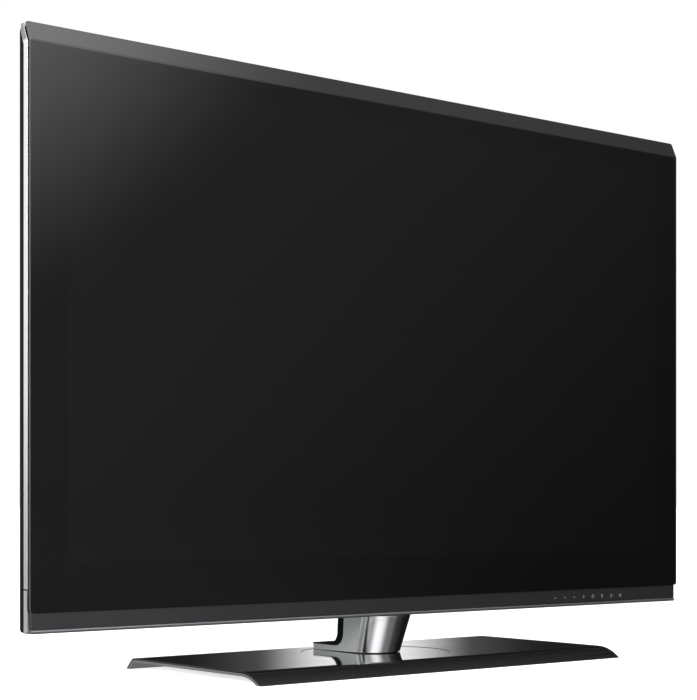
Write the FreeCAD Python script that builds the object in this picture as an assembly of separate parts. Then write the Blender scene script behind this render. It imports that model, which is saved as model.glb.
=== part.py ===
# Flat screen television with a full-face front sheet, on a swivelling pedestal stand.
# Millimetres. +X is to the viewer's right, +Y away from the viewer, +Z up.
# The origin is on the floor, below the centre of the whole set's outline.
import FreeCAD, Part
import math
import os

V = FreeCAD.Vector

# Picture and borders: a 42 inch wide picture behind a borderless sheet
picture_width = 930.0
picture_height = 523.0
side_border = 45.5
top_border = 45.4
bottom_border = 51.0

# Front sheet: flat, then bent back into a slanted strip along the top
sheet_thickness = 3.0
bevel_height = 20.6
bevel_back = 8.8
bend_radius = 18.0
sheet_corner_top = 3.0
sheet_corner_bottom = 4.0

# Heights above the floor
panel_bottom = 61.4
lip_height = 4.2
bar_height = 18.4

# Depth of the layers behind the front sheet's front face
gasket_depth = 1.5
trim_setback = 3.5
trim_depth = 7.0
edge_wall_depth = 8.4
bulge_depth = 18.6
front_face_y = -37.5

# Edge details
trim_thickness = 2.3
trim_inset = 0.3
trim_crown = 2.5
trim_top_drop = 0.8
trim_joint_height = 23.0
trim_joint_gap = 0.5
bar_inset = 2.4
trim_foot_lap = 0.8
trim_foot_round = 2.0
bar_wall = 2.5
bar_depth = 5.8
lip_inset = 1.6
lip_round = 1.8
gasket_inset = 2.0
gasket_width = 9.0
fit_gap = 0.3
film_gap = 0.1

# Display module behind the sheet
module_border = 21.0
case_thickness = 0.8
cell_thickness = 1.6
film_thickness = 0.5
guide_thickness = 3.5
reflector_thickness = 0.3
chassis_thickness = 1.0
led_strip_thickness = 1.5
led_size = 3.0
led_height = 1.4
led_pitch = 15.5

# Rear cover
cover_wall = 2.2
cover_side_inset = 0.5
cover_top_drop = 5.0
cover_bottom_rise = 1.0
cover_edge_round = 4.5
bulge_side_inset = 22.0
bulge_top_inset = 24.0
bulge_slope_run = 53.0
bulge_bottom_slope = 14.0
bulge_corner = 30.0
cover_screw_inset = 11.0
cover_screw_count = 4
cover_screw_radius = 1.5
cover_screw_head_radius = 3.0
cover_screw_head = 1.8
cover_screw_bite = 6.0
vent_slot_width = 4.0
vent_slot_length = 46.0
vent_slot_pitch = 9.0
vent_slot_count = 26
vent_centre_x = 230.0
vent_top_drop = 150.0

# Boards and connector bay
main_board_left = 130.0
main_board_width = 220.0
main_board_height = 170.0
main_board_foot = 96.0
power_board_right = -130.0
power_board_width = 260.0
power_board_height = 200.0
tcon_board_width = 180.0
tcon_board_height = 46.0
board_thickness = 1.6
board_lift = 8.0
standoff_radius = 3.0
board_screw_radius = 1.4
board_hole_inset = 7.0
bay_depth = 24.0
bay_width = 70.0
inlet_bay_width = 80.0
inlet_bay_height = 56.0
jack_plate_thickness = 1.0

# Parts soldered on the boards
processor_size = 40.0
processor_depth = 9.0
chip_size = 18.0
chip_depth = 2.0
ribbon_socket_length = 40.0
ribbon_socket_height = 6.0
ribbon_socket_depth = 4.0
transformer_size = 38.0
transformer_depth = 13.0
heat_sink_length = 60.0
heat_sink_thickness = 8.0
capacitor_size = 18.0
capacitor_depth = 12.0
touch_board_length = 150.0
touch_chip_size = 8.0

# Sockets
hdmi_width = 15.0
hdmi_height = 5.6
lan_width = 16.0
lan_height = 13.6
aerial_radius = 4.6
usb_width = 14.4
usb_height = 7.0
inlet_width = 29.0
inlet_height = 15.0
inlet_pin_radius = 1.2
lower_socket_count = 4
side_socket_count = 3
socket_depth = 15.0
socket_wall = 0.8
lan_wall = 2.0
socket_stand_out = 1.5

# Wall mount: four M6 threads on a square
wall_mount_spacing = 200.0
wall_mount_thread_radius = 3.0
wall_mount_thread_depth = 16.0
wall_mount_post_radius = 8.0
rail_thickness = 2.0
rail_height = 30.0
rail_overhang = 30.0

# Speakers, firing down through slots in the rear cover
speaker_inner_x = 284.0
speaker_length = 140.0
speaker_height = 33.0
speaker_rise = 15.0
speaker_depth = 21.0
speaker_wall = 2.0
cone_length = 80.0
cone_width = 11.0
cone_travel = 1.0
surround_width = 1.6
coil_radius = 3.2
coil_thickness = 0.5
coil_length = 7.0
magnet_radius = 6.5
speaker_slot_count = 12
speaker_slot_pitch = 7.0
speaker_slot_width = 3.0

# Base of the stand: a bent slab with a front and a rear lip
base_width = 570.0
base_depth = 271.0
base_top = 14.0
base_skin = 2.0
base_shell_thickness = 3.0
front_lip_radius = 56.0
front_lip_angle = 38.0
rear_lip_radius = 8.0
rear_lip_angle = 45.0
lip_floor_gap = 0.6
base_plate_width = 400.0
base_plate_thickness = 3.0
base_plate_margin = 5.0
foot_radius = 11.0
foot_inset = 18.0

# Swivel
swivel_y = 11.0
swivel_range = 20.0
disc_radius = 92.0
disc_gap = 0.4
disc_recess = 0.4
disc_thickness = 1.2
swivel_plate_thickness = 1.6
swivel_plate_radius = 86.0
slip_ring_width = 20.0
slip_ring_outer = 84.0
slip_gap = 0.1
pivot_radius = 5.0
pivot_running_gap = 0.05
pivot_head_radius = 8.0
pivot_head = 4.0
bush_wall = 3.0
bush_flange = 4.0
washer_radius = 10.0
washer_thickness = 1.0
nut_across_flats = 16.0
nut_height = 3.4
stop_pin_radius = 2.5
stop_pin_orbit = 40.0
stop_pin_gap = 0.3

# Neck: a round front that widens and leans forward, flat sides with an L-shaped foot
neck_half_width_low = 32.5
neck_half_width_high = 36.0
neck_front_depth_low = 27.0
neck_front_depth_high = 28.5
neck_centre_high = -5.5
neck_top_gap = 0.6
neck_wall = 2.5
neck_foot_end = 94.4
neck_foot_height = 7.7
neck_foot_skin = 1.2
neck_rear_high = 32.6
neck_rear_low = 36.0
neck_fillet = 18.0
neck_rear_depth = 8.0
neck_upper_height = 91.0
neck_upper_rear = 22.0
core_half_width = 25.0
core_flange = 4.5
core_upright = 7.0
core_front_low = 1.0
core_rear_low = 26.0
core_foot_clear = 6.0
core_top_clear = 6.0
stand_screw_radius = 2.5
stand_screw_head = 3.0
stand_screw_spacing_x = 34.0
stand_screw_spacing_z = 36.0
bracket_half_width = 58.0
bracket_thickness = 3.0
bracket_height = 100.0

# Worked out from the sizes above
sheet_half = picture_width / 2 + side_border
sheet_bottom = panel_bottom + lip_height + bar_height
picture_bottom = sheet_bottom + bottom_border
picture_top = picture_bottom + picture_height
sheet_top = picture_top + top_border
crease_z = sheet_top - bevel_height
picture_mid = (picture_bottom + picture_top) / 2
bevel_angle = math.atan2(bevel_back, bevel_height)
bend_start = crease_z - bend_radius * math.tan(bevel_angle / 2)
frame_front = sheet_thickness + gasket_depth
trim_front = frame_front + trim_setback
seam_depth = trim_front + trim_depth
edge_depth = seam_depth + edge_wall_depth
back_depth = edge_depth + bulge_depth
cover_half = sheet_half - cover_side_inset
cover_top = sheet_top - cover_top_drop
cover_bottom = panel_bottom + cover_bottom_rise
module_half = picture_width / 2 + module_border
module_bottom = picture_bottom - module_border
module_top = picture_top + module_border
pan_wall = case_thickness + film_gap + chassis_thickness
guide_margin = module_border - pan_wall - film_gap - led_strip_thickness - led_height - fit_gap
case_front = frame_front + fit_gap
cell_front = case_front + case_thickness + film_gap
prism_front = cell_front + cell_thickness + film_gap
diffuser_front = prism_front + film_thickness + film_gap
guide_front = diffuser_front + film_thickness + film_gap
reflector_front = guide_front + guide_thickness + film_gap
chassis_front = reflector_front + reflector_thickness + film_gap
chassis_back = chassis_front + chassis_thickness
inner_back = back_depth - cover_wall
bay_floor = back_depth - bay_depth
board_front = chassis_back + board_lift
shell_bottom = base_top - base_skin - base_shell_thickness
plate_bottom = shell_bottom - base_plate_thickness
disc_top = base_top - disc_recess
swivel_plate_top = disc_top - disc_thickness
swivel_plate_bottom = swivel_plate_top - swivel_plate_thickness
slip_top = swivel_plate_bottom - slip_gap
neck_top = panel_bottom - neck_top_gap
neck_upper_top = neck_top + neck_upper_height
main_board_bottom = module_bottom + main_board_foot + bay_width / 2
main_board_top = main_board_bottom + main_board_height
main_board_right = main_board_left + main_board_width
power_board_left = power_board_right - power_board_width
power_board_bottom = main_board_bottom
wall_mount_z = picture_mid
speaker_bottom = panel_bottom + speaker_rise
rear_face_y = front_face_y + back_depth

nodes = {}


def behind(depth):
    """Y of a plane this far behind the front sheet's face."""
    return front_face_y + depth


def box(x0, x1, y0, y1, z0, z1):
    return Part.makeBox(x1 - x0, y1 - y0, z1 - z0, V(x0, y0, z0))


def layer(half_width, d0, d1, z0, z1):
    """A flat layer of the panel, centred across the set."""
    return box(-half_width, half_width, behind(d0), behind(d1), z0, z1)


def rod(radius, start, direction, length):
    return Part.makeCylinder(radius, length, start, direction)


def ring(outer, inner, start, direction, length):
    return rod(outer, start, direction, length).cut(rod(inner, start, direction, length))


def fused(shapes):
    return shapes[0].multiFuse(shapes[1:]).removeSplitter()


def without(shape, cuts):
    return shape.cut(Part.makeCompound(cuts))


def mirrored(shape):
    return shape.mirror(V(0, 0, 0), V(1, 0, 0))


def face_of(points):
    wire = Part.makePolygon([*points, points[0]])
    return Part.Face(wire)


def slab_yz(points, x0, x1):
    """A flat outline of (y, z) points, drawn out from x0 to x1."""
    return face_of([V(x0, y, z) for y, z in points]).extrude(V(x1 - x0, 0, 0))


def arc_edge(start, middle, end):
    return Part.Arc(start, middle, end).toShape()


def line_edge(start, end):
    return Part.LineSegment(start, end).toShape()


def oblong(length, width, centre, height):
    """A round-ended bar seen from above, length along X, standing up from centre."""
    reach = length / 2 - width / 2
    middle = box(
        centre.x - reach, centre.x + reach,
        centre.y - width / 2, centre.y + width / 2,
        centre.z, centre.z + height,
    )
    ends = [rod(width / 2, centre + V(side * reach, 0, 0), V(0, 0, 1), height) for side in (-1, 1)]
    return fused([middle, *ends])


def screw(head_radius, head, shank_radius, length, seat, direction):
    """A screw whose head sits on seat and whose shank runs along direction."""
    shank = rod(shank_radius, seat, direction, length)
    cap = rod(head_radius, seat, direction * -1, head)
    return fused([shank, cap])


# Base of the stand

def base_surface(depth):
    """Edges of the base's side outline at this depth below its outer surface, front to rear.

    The lips run on below the floor, so that base_layer can end them all at one level.
    """
    half = base_depth / 2
    bends = []
    for side, radius, degrees in (
        (-1, front_lip_radius, front_lip_angle),
        (1, rear_lip_radius, rear_lip_angle),
    ):
        angle = math.radians(degrees)
        drop = base_top - radius * (1 - math.cos(angle)) - lip_floor_gap
        run = radius * math.sin(angle) + drop / math.tan(angle)
        flat_end = side * (half - run)
        small = radius - depth
        level = base_top - depth
        centre_z = base_top - radius
        points = []
        for turn in (0, angle / 2, angle):
            points.append(V(0, flat_end + side * small * math.sin(turn), centre_z + small * math.cos(turn)))
        fall = points[2].z + base_top
        tip = V(0, points[2].y + side * fall / math.tan(angle), -base_top)
        bends.append((V(0, flat_end, level), points[1], points[2], tip))
    front, rear = bends
    return [
        line_edge(front[3], front[2]),
        arc_edge(front[2], front[1], front[0]),
        line_edge(front[0], rear[0]),
        arc_edge(rear[0], rear[1], rear[2]),
        line_edge(rear[2], rear[3]),
    ]


def base_flat_ends():
    """Where the base's flat top ends, at the front and at the rear."""
    flat = base_surface(0)[2]
    return flat.Vertexes[0].Point.y, flat.Vertexes[1].Point.y


def base_layer(upper, lower):
    """The bent slab between two depths below the outer surface, with the turntable's hole."""
    top_edges = base_surface(upper)
    low_edges = base_surface(lower)
    closing = [
        line_edge(top_edges[0].Vertexes[0].Point, low_edges[0].Vertexes[0].Point),
        line_edge(top_edges[-1].Vertexes[-1].Point, low_edges[-1].Vertexes[-1].Point),
    ]
    outline = Part.Wire(Part.__sortEdges__([*top_edges, *low_edges, *closing]))
    face = Part.Face(outline)
    face.translate(V(-base_width / 2, 0, 0))
    slab = face.extrude(V(base_width, 0, 0))
    half = base_depth / 2
    above_floor = box(-base_width / 2, base_width / 2, -half, half, lip_floor_gap, base_top)
    hole = rod(disc_radius + disc_gap, V(0, swivel_y, 0), V(0, 0, 1), 2 * base_top)
    return slab.common(above_floor).cut(hole)


def plate_span():
    """Front and rear edges of the steel plate under the base."""
    front, rear = base_flat_ends()
    return front + base_plate_margin, rear - base_plate_margin


def foot_places():
    front, rear = plate_span()
    reach = base_plate_width / 2 - foot_inset
    return [V(x, y, 0) for x in (-reach, reach) for y in (front + foot_inset, rear - foot_inset)]


def base_screw_places():
    front, rear = plate_span()
    reach = base_plate_width / 2 - foot_inset
    inset = foot_inset / 2
    corners = [V(x, y, 0) for x in (-reach / 2, reach / 2) for y in (front + inset, rear - inset)]
    return [*corners, V(-reach, swivel_y, 0), V(reach, swivel_y, 0)]


def swivel_arc_slot(height):
    """The curved slot that the stop pin runs in, ahead of the pivot."""
    half_width = stop_pin_radius + stop_pin_gap
    pivot = V(0, swivel_y, 0)
    track = ring(stop_pin_orbit + half_width, stop_pin_orbit - half_width, pivot, V(0, 0, 1), height)
    spread = math.radians(swivel_range)
    far = 2 * stop_pin_orbit
    wedge = face_of([
        pivot,
        pivot + V(-far * math.sin(spread), -far * math.cos(spread), 0),
        pivot + V(far * math.sin(spread), -far * math.cos(spread), 0),
    ]).extrude(V(0, 0, height))
    ends = []
    for side in (-1, 1):
        end = pivot + V(side * math.sin(spread), -math.cos(spread), 0) * stop_pin_orbit
        ends.append(rod(half_width, end, V(0, 0, 1), height))
    return fused([track.common(wedge), *ends])


def make_base():
    nodes["base_cover"] = base_layer(0, base_skin)
    shell = base_layer(base_skin, base_skin + base_shell_thickness)
    pilot_depth = base_shell_thickness - fit_gap
    pilots = [
        rod(cover_screw_radius, place + V(0, 0, shell_bottom), V(0, 0, 1), pilot_depth)
        for place in base_screw_places()
    ]
    nodes["base_shell"] = without(shell, pilots)

    front, rear = plate_span()
    plate = box(-base_plate_width / 2, base_plate_width / 2, front, rear, plate_bottom, shell_bottom)
    up = V(0, 0, 1)
    holes = [rod(pivot_radius + bush_wall, V(0, swivel_y, 0), up, base_top), swivel_arc_slot(base_top)]
    holes += [rod(cover_screw_radius, place, up, base_top) for place in base_screw_places()]
    nodes["base_steel_plate"] = without(plate, holes)

    screws = []
    for place in base_screw_places():
        seat = place + V(0, 0, plate_bottom)
        length = base_plate_thickness + pilot_depth
        screws.append(screw(
            cover_screw_head_radius, cover_screw_head, cover_screw_radius, length, seat, up,
        ))
    nodes["base_screws"] = Part.makeCompound(screws)
    nodes["rubber_feet"] = Part.makeCompound([
        rod(foot_radius, place, V(0, 0, 1), plate_bottom) for place in foot_places()
    ])


def make_swivel():
    pivot = V(0, swivel_y, 0)
    up = V(0, 0, 1)
    bore = pivot_radius + pivot_running_gap
    sleeve = rod(pivot_radius + bush_wall, pivot + up * plate_bottom, up, base_plate_thickness)
    collar_radius = pivot_radius + bush_wall + bush_flange
    collar = rod(collar_radius, pivot + up * shell_bottom, up, slip_top - shell_bottom)
    nodes["swivel_bush"] = fused([sleeve, collar]).cut(rod(bore, pivot, up, base_top))
    nodes["slip_ring"] = ring(
        slip_ring_outer, slip_ring_outer - slip_ring_width,
        pivot + up * shell_bottom, up, slip_top - shell_bottom,
    )

    pin_place = pivot + V(0, -stop_pin_orbit, 0)
    bolt_hole = rod(bore, pivot, up, base_top)
    pin_hole = rod(stop_pin_radius, pin_place, up, base_top)
    places = neck_screw_places()
    sinks = [
        Part.makeCone(
            stand_screw_radius + swivel_plate_thickness, stand_screw_radius, swivel_plate_thickness,
            place + up * swivel_plate_bottom, up,
        )
        for place in places
    ]
    plate = rod(swivel_plate_radius, pivot + up * swivel_plate_bottom, up, swivel_plate_thickness)
    nodes["swivel_plate"] = without(plate, [bolt_hole, pin_hole, *sinks])

    disc = rod(disc_radius, pivot + up * swivel_plate_bottom, up, disc_top - swivel_plate_bottom)
    seat = rod(swivel_plate_radius + film_gap, pivot, up, swivel_plate_top)
    shanks = [rod(stand_screw_radius + film_gap, place, up, base_top) for place in places]
    head_hole = rod(pivot_head_radius + fit_gap, pivot, up, base_top)
    nodes["turntable_disc"] = without(disc, [seat, head_hole, *shanks])

    washer_top = plate_bottom - slip_gap
    nut_top = washer_top - washer_thickness
    bolt_bottom = nut_top - nut_height
    shank = rod(pivot_radius, pivot + up * bolt_bottom, up, swivel_plate_top - bolt_bottom)
    head = rod(pivot_head_radius, pivot + up * swivel_plate_top, up, pivot_head)
    nodes["pivot_bolt"] = fused([shank, head])
    nodes["spring_washer"] = ring(washer_radius, bore, pivot + up * nut_top, up, washer_thickness)
    corner = nut_across_flats / math.sqrt(3)
    hexagon = []
    for step in range(6):
        angle = math.radians(60 * step)
        hexagon.append(pivot + V(corner * math.cos(angle), corner * math.sin(angle), bolt_bottom))
    nodes["lock_nut"] = face_of(hexagon).extrude(up * nut_height).cut(bolt_hole)
    pin_bottom = plate_bottom - slip_gap
    pin_length = swivel_plate_top - pin_bottom
    nodes["swivel_stop_pin"] = rod(stop_pin_radius, pin_place + up * pin_bottom, up, pin_length)
    nodes["neck_foot_screws"] = Part.makeCompound([neck_foot_screw(place) for place in places])


# Neck

def neck_junction(z):
    """Y of the seam between the round front and the flat sides at height z."""
    part_way = (z - disc_top) / (neck_top - disc_top)
    return swivel_y + part_way * (neck_centre_high - swivel_y)


def neck_section(z, half_width, front_depth, centre_y, inset):
    """One level of the neck: a half ellipse ahead of the seam, straight sides behind it."""
    wide = half_width - inset
    deep = front_depth - inset
    rear_y = neck_foot_end + neck_rear_depth
    steps = 10
    points = []
    for step in range(steps + 1):
        angle = math.pi * step / steps
        points.append(V(-wide * math.cos(angle), centre_y - deep * math.sin(angle), z))
    curve = Part.BSplineCurve()
    curve.interpolate(Points=points, InitialTangent=V(0, -1, 0), FinalTangent=V(0, 1, 0))
    edges = [curve.toShape()]
    corners = [points[-1], V(wide, rear_y, z), V(-wide, rear_y, z), points[0]]
    for here, there in zip(corners, corners[1:]):
        edges.append(line_edge(here, there))
    return Part.Wire(edges)


def neck_body(inset):
    """The neck's flaring outer form, or the hollow inside its wall."""
    low = neck_section(disc_top, neck_half_width_low, neck_front_depth_low, swivel_y, inset)
    high = neck_section(neck_top, neck_half_width_high, neck_front_depth_high, neck_centre_high, inset)
    return Part.makeLoft([low, high], True, True)


def neck_back_edges(foot_lift, back_step):
    """Foot top, fillet and rising back of the neck's side outline, from the foot's end upwards."""
    foot_z = disc_top + neck_foot_height + foot_lift
    low = V(0, neck_rear_low + back_step, foot_z + neck_fillet)
    high = V(0, neck_rear_high + back_step, neck_top)
    foot = V(0, low.y + neck_fillet, foot_z)
    centre = V(0, foot.y, low.z)
    middle = centre + V(0, -math.sqrt(0.5), -math.sqrt(0.5)) * neck_fillet
    end = V(0, neck_foot_end, foot_z)
    return end, foot, middle, low, high


def neck_zone(edges_of, start):
    """The region between the seam or an inner outline and a stepped back, across the whole width."""
    end, foot, middle, low, high = edges_of
    edges = [line_edge(end, foot), arc_edge(foot, middle, low), line_edge(low, high)]
    corners = [high, *start, end]
    for here, there in zip(corners, corners[1:]):
        edges.append(line_edge(here, there))
    face = Part.Face(Part.Wire(edges))
    reach = 2 * neck_half_width_high
    face.translate(V(-reach, 0, 0))
    return face.extrude(V(2 * reach, 0, 0))


def neck_upper_block(inset):
    """The part of the neck that rises behind the panel, or the hollow in it."""
    front = rear_face_y + fit_gap
    front_cut = front if inset == 0 else front - neck_wall
    lean = (neck_upper_rear - neck_rear_high - neck_rear_depth) / neck_upper_height
    top = neck_upper_top - inset
    low = neck_top if inset == 0 else neck_top - neck_wall
    low_rear = neck_rear_high + neck_rear_depth - inset
    outline = [
        (front_cut, low),
        (low_rear, low),
        (low_rear + lean * (top - neck_top), top),
        (front_cut, top),
    ]
    half = neck_half_width_high - inset
    return slab_yz(outline, -half, half)


def neck_screw_places():
    """Where the neck is screwed down to the swivel plate."""
    reach = stand_screw_spacing_x / 2
    rear = neck_foot_end - core_foot_clear - stand_screw_spacing_z / 2
    return [V(x, y, 0) for x in (-reach, reach) for y in (core_front_low + core_foot_clear, rear)]


def panel_screw_places():
    """Where the neck is screwed to the bracket inside the panel."""
    reach = stand_screw_spacing_x / 2
    top = neck_upper_top - neck_wall - 2 * core_top_clear
    return [V(x, 0, z) for x in (-reach, reach) for z in (top - stand_screw_spacing_z, top)]


def neck_foot_screw(place):
    """A countersunk screw from under the swivel plate up into the neck's flange."""
    up = V(0, 0, 1)
    seat = place + up * (swivel_plate_bottom + film_gap)
    head = swivel_plate_thickness - film_gap
    cone = Part.makeCone(stand_screw_radius + head, stand_screw_radius, head, seat, up)
    shank = rod(stand_screw_radius, seat, up, disc_top + core_flange - 2 * film_gap - swivel_plate_bottom)
    return fused([cone, shank])


def make_neck():
    outer = neck_body(0)
    wall = outer.cut(neck_body(neck_wall))
    seam_low = neck_junction(disc_top)
    seam_high = neck_junction(neck_top)
    far_front = seam_high - 3 * neck_front_depth_high
    reach = 2 * neck_half_width_high
    front_outline = [
        (far_front, disc_top),
        (seam_low - film_gap, disc_top),
        (seam_high - film_gap, neck_top),
        (far_front, neck_top),
    ]
    nodes["neck_front_cover"] = wall.common(slab_yz(front_outline, -reach, reach))

    low_corner = V(0, seam_low + film_gap, disc_top)
    high_corner = V(0, seam_high + film_gap, neck_top)
    foot_end = V(0, neck_foot_end, disc_top)
    side_zone = neck_zone(neck_back_edges(0, 0), [high_corner, low_corner, foot_end])
    sides = wall.common(side_zone)
    left_half = box(-reach, 0, -reach, 2 * reach, 0, neck_top)
    left = sides.common(left_half)
    nodes["neck_side_left"] = left
    nodes["neck_side_right"] = mirrored(left)

    inner = neck_back_edges(0, 0)
    outer_back = neck_back_edges(neck_foot_skin, neck_rear_depth)
    side_fill = neck_zone(inner, [high_corner, low_corner, foot_end])
    back_zone = neck_zone(outer_back, [high_corner, low_corner, foot_end]).cut(side_fill)
    hollow_back = neck_back_edges(0, neck_rear_depth - neck_wall)
    hollow_zone = neck_zone(hollow_back, [high_corner, low_corner, foot_end])
    lower_cover = outer.common(back_zone).cut(hollow_zone.common(neck_body(neck_wall)))
    upper_cover = neck_upper_block(0).cut(neck_upper_block(neck_wall))
    upper_hollow = neck_upper_block(neck_wall)
    nodes["neck_rear_cover"] = fused([lower_cover.cut(upper_hollow), upper_cover])

    core_front_high = rear_face_y + 2 * fit_gap
    core_rear_high = core_front_high + core_upright
    core_top = neck_upper_top - neck_wall - core_top_clear
    foot_rear = neck_foot_end - core_foot_clear
    outline = [
        (core_front_low, disc_top),
        (foot_rear, disc_top),
        (foot_rear, disc_top + core_flange),
        (core_rear_low, disc_top + core_flange),
        (core_rear_high, panel_bottom),
        (core_rear_high, core_top),
        (core_front_high, core_top),
        (core_front_high, panel_bottom),
    ]
    core = slab_yz(outline, -core_half_width, core_half_width)
    up = V(0, 0, 1)
    head_pocket = rod(pivot_head_radius + fit_gap, V(0, swivel_y, disc_top), up, pivot_head)
    foot_pilots = [
        rod(stand_screw_radius, place + up * disc_top, up, core_flange)
        for place in neck_screw_places()
    ]
    panel_holes = [
        rod(stand_screw_radius + film_gap, place + V(0, core_front_high, 0), V(0, 1, 0), core_upright)
        for place in panel_screw_places()
    ]
    nodes["neck_core"] = without(core, [head_pocket, *foot_pilots, *panel_holes])

    length = core_upright + 2 * fit_gap + cover_wall + bracket_thickness
    nodes["neck_panel_screws"] = Part.makeCompound([
        screw(
            2 * stand_screw_radius, stand_screw_head, stand_screw_radius, length,
            place + V(0, core_rear_high, 0), V(0, -1, 0),
        )
        for place in panel_screw_places()
    ])


# Panel outline

def strip_points(depth, top):
    """A line at this depth behind the front face, from the bend's start up the slanted strip."""
    radius = bend_radius - depth
    centre_y = behind(bend_radius)
    points = []
    for turn in (0, bevel_angle / 2, bevel_angle):
        points.append(V(0, centre_y - radius * math.cos(turn), bend_start + radius * math.sin(turn)))
    rise = top - points[2].z
    points.append(V(0, points[2].y + rise * math.tan(bevel_angle), top))
    return points


def strip(front, back, bottom, top, x0, x1, crown=0):
    """A layer that follows the front sheet's bend, between two depths, with a rounded top if crowned."""
    outer = strip_points(front, top)
    inner = strip_points(back, top)
    low_outer = V(0, behind(front), bottom)
    low_inner = V(0, behind(back), bottom)
    if crown:
        peak = (outer[3] + inner[3]) * 0.5 + V(0, 0, crown)
        cap = arc_edge(outer[3], peak, inner[3])
    else:
        cap = line_edge(outer[3], inner[3])
    edges = [
        line_edge(low_outer, outer[0]),
        arc_edge(outer[0], outer[1], outer[2]),
        line_edge(outer[2], outer[3]),
        cap,
        line_edge(inner[3], inner[2]),
        arc_edge(inner[2], inner[1], inner[0]),
        line_edge(inner[0], low_inner),
        line_edge(low_inner, low_outer),
    ]
    face = Part.Face(Part.Wire(edges))
    face.translate(V(x0, 0, 0))
    return face.extrude(V(x1 - x0, 0, 0))


def ahead_of_cover(shape, gap):
    """The part of a shape that stays in front of the rear cover's wall, with this gap to it."""
    return shape.common(layer(sheet_half, 0, edge_depth - cover_wall - gap, panel_bottom, sheet_top))


def depth_edges(block, above):
    """The edges that run through a block's depth, above or below its middle."""
    span = block.BoundBox
    picked = []
    for edge in block.Edges:
        first, last = (vertex.Point for vertex in edge.Vertexes)
        if abs(first.y - last.y) > span.YLength / 2 and (edge.CenterOfMass.z > span.Center.z) == above:
            picked.append(edge)
    return picked


def sheet_outline():
    """A block through the whole depth of the sheet whose outline has its rounded corners."""
    block = layer(sheet_half, 0, edge_depth, sheet_bottom, sheet_top)
    rounded = block.makeFillet(sheet_corner_top, depth_edges(block, True))
    return rounded.makeFillet(sheet_corner_bottom, depth_edges(rounded, False))


def make_front():
    sheet = strip(0, sheet_thickness, sheet_bottom, sheet_top, -sheet_half, sheet_half)
    nodes["front_sheet"] = sheet.common(sheet_outline())

    gasket_half = sheet_half - gasket_inset - trim_thickness
    gasket_top = cover_top - gasket_inset
    gasket_bottom = sheet_bottom + gasket_inset
    gasket = strip(sheet_thickness, frame_front, gasket_bottom, gasket_top, -gasket_half, gasket_half)
    opening = layer(
        gasket_half - gasket_width, 0, seam_depth,
        gasket_bottom + gasket_width, crease_z - gasket_width,
    )
    nodes["sheet_gasket"] = gasket.cut(opening)

    outer_x = sheet_half - trim_inset
    inner_x = outer_x - trim_thickness
    joint = sheet_bottom + trim_joint_height
    trim_top = sheet_top - trim_top_drop - trim_crown
    upper = strip(trim_front, seam_depth, joint + trim_joint_gap, trim_top, inner_x, outer_x, trim_crown)
    upper = ahead_of_cover(upper, film_gap)
    nodes["side_trim_right"] = upper
    nodes["side_trim_left"] = mirrored(upper)
    rear_y = behind(seam_depth)
    front_y = behind(trim_front)
    above = box(inner_x, outer_x, front_y, rear_y, sheet_bottom + fit_gap, joint)
    foot_front = behind(trim_front - trim_foot_lap)
    foot = box(inner_x, outer_x, foot_front, rear_y, panel_bottom, sheet_bottom - film_gap)
    low_corner = [
        edge for edge in foot.Edges
        if edge.CenterOfMass.x > outer_x - film_gap and edge.CenterOfMass.z < panel_bottom + film_gap
    ]
    foot = foot.makeFillet(trim_foot_round, low_corner)
    lap = 2 * fit_gap
    link = box(inner_x, outer_x, front_y, rear_y, sheet_bottom - lap, sheet_bottom + lap)
    lower = fused([above, foot, link])
    nodes["lower_trim_right"] = lower
    nodes["lower_trim_left"] = mirrored(lower)

    bar_half = inner_x - film_gap
    bar_bottom = panel_bottom + lip_height
    bar_top = sheet_bottom - film_gap
    bar = layer(bar_half, bar_inset, bar_inset + bar_depth, bar_bottom, bar_top)
    bar_room = layer(
        bar_half - bar_wall, bar_inset + bar_wall, bar_inset + 2 * bar_depth,
        bar_bottom + bar_wall, bar_top - bar_wall,
    )
    nodes["lower_bar"] = bar.cut(bar_room)

    lip = layer(bar_half, lip_inset, seam_depth, panel_bottom, bar_bottom - film_gap)
    front_edges = [
        edge for edge in lip.Edges
        if abs(edge.CenterOfMass.y - behind(lip_inset)) < film_gap and edge.Length > bar_half
    ]
    nodes["bottom_lip"] = lip.makeFillet(lip_round, front_edges)

    frame_half = inner_x - film_gap
    frame = strip(frame_front, seam_depth - film_gap, bar_bottom, trim_top, -frame_half, frame_half)
    frame = ahead_of_cover(frame, film_gap)
    window = layer(module_half + fit_gap, 0, back_depth, module_bottom - fit_gap, module_top + fit_gap)
    bar_seat = layer(sheet_half, 0, bar_inset + bar_depth + fit_gap, panel_bottom, sheet_bottom + film_gap)
    pilots = [
        rod(cover_screw_radius, place - V(0, edge_wall_depth + cover_screw_bite, 0), V(0, 1, 0), back_depth)
        for place in cover_screw_places()
    ]
    nodes["middle_frame"] = without(frame, [window, bar_seat, *pilots])

    board_half = touch_board_length / 2
    board_x = sheet_half - touch_board_length
    board_y = bar_inset + bar_wall + film_gap
    pcb = box(
        board_x - board_half, board_x + board_half, behind(board_y), behind(board_y + board_thickness),
        bar_bottom + bar_wall + fit_gap, bar_top - bar_wall - fit_gap,
    )
    chip_half = touch_chip_size / 2
    chips = []
    for x in (board_x - board_half / 2, board_x, board_x + board_half / 2):
        chips.append(box(
            x - chip_half, x + chip_half, behind(board_y), behind(bar_inset + bar_depth),
            bar_bottom + 2 * bar_wall, bar_top - 2 * bar_wall,
        ))
    nodes["touch_key_board"] = fused([pcb, *chips])


# Display module

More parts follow.
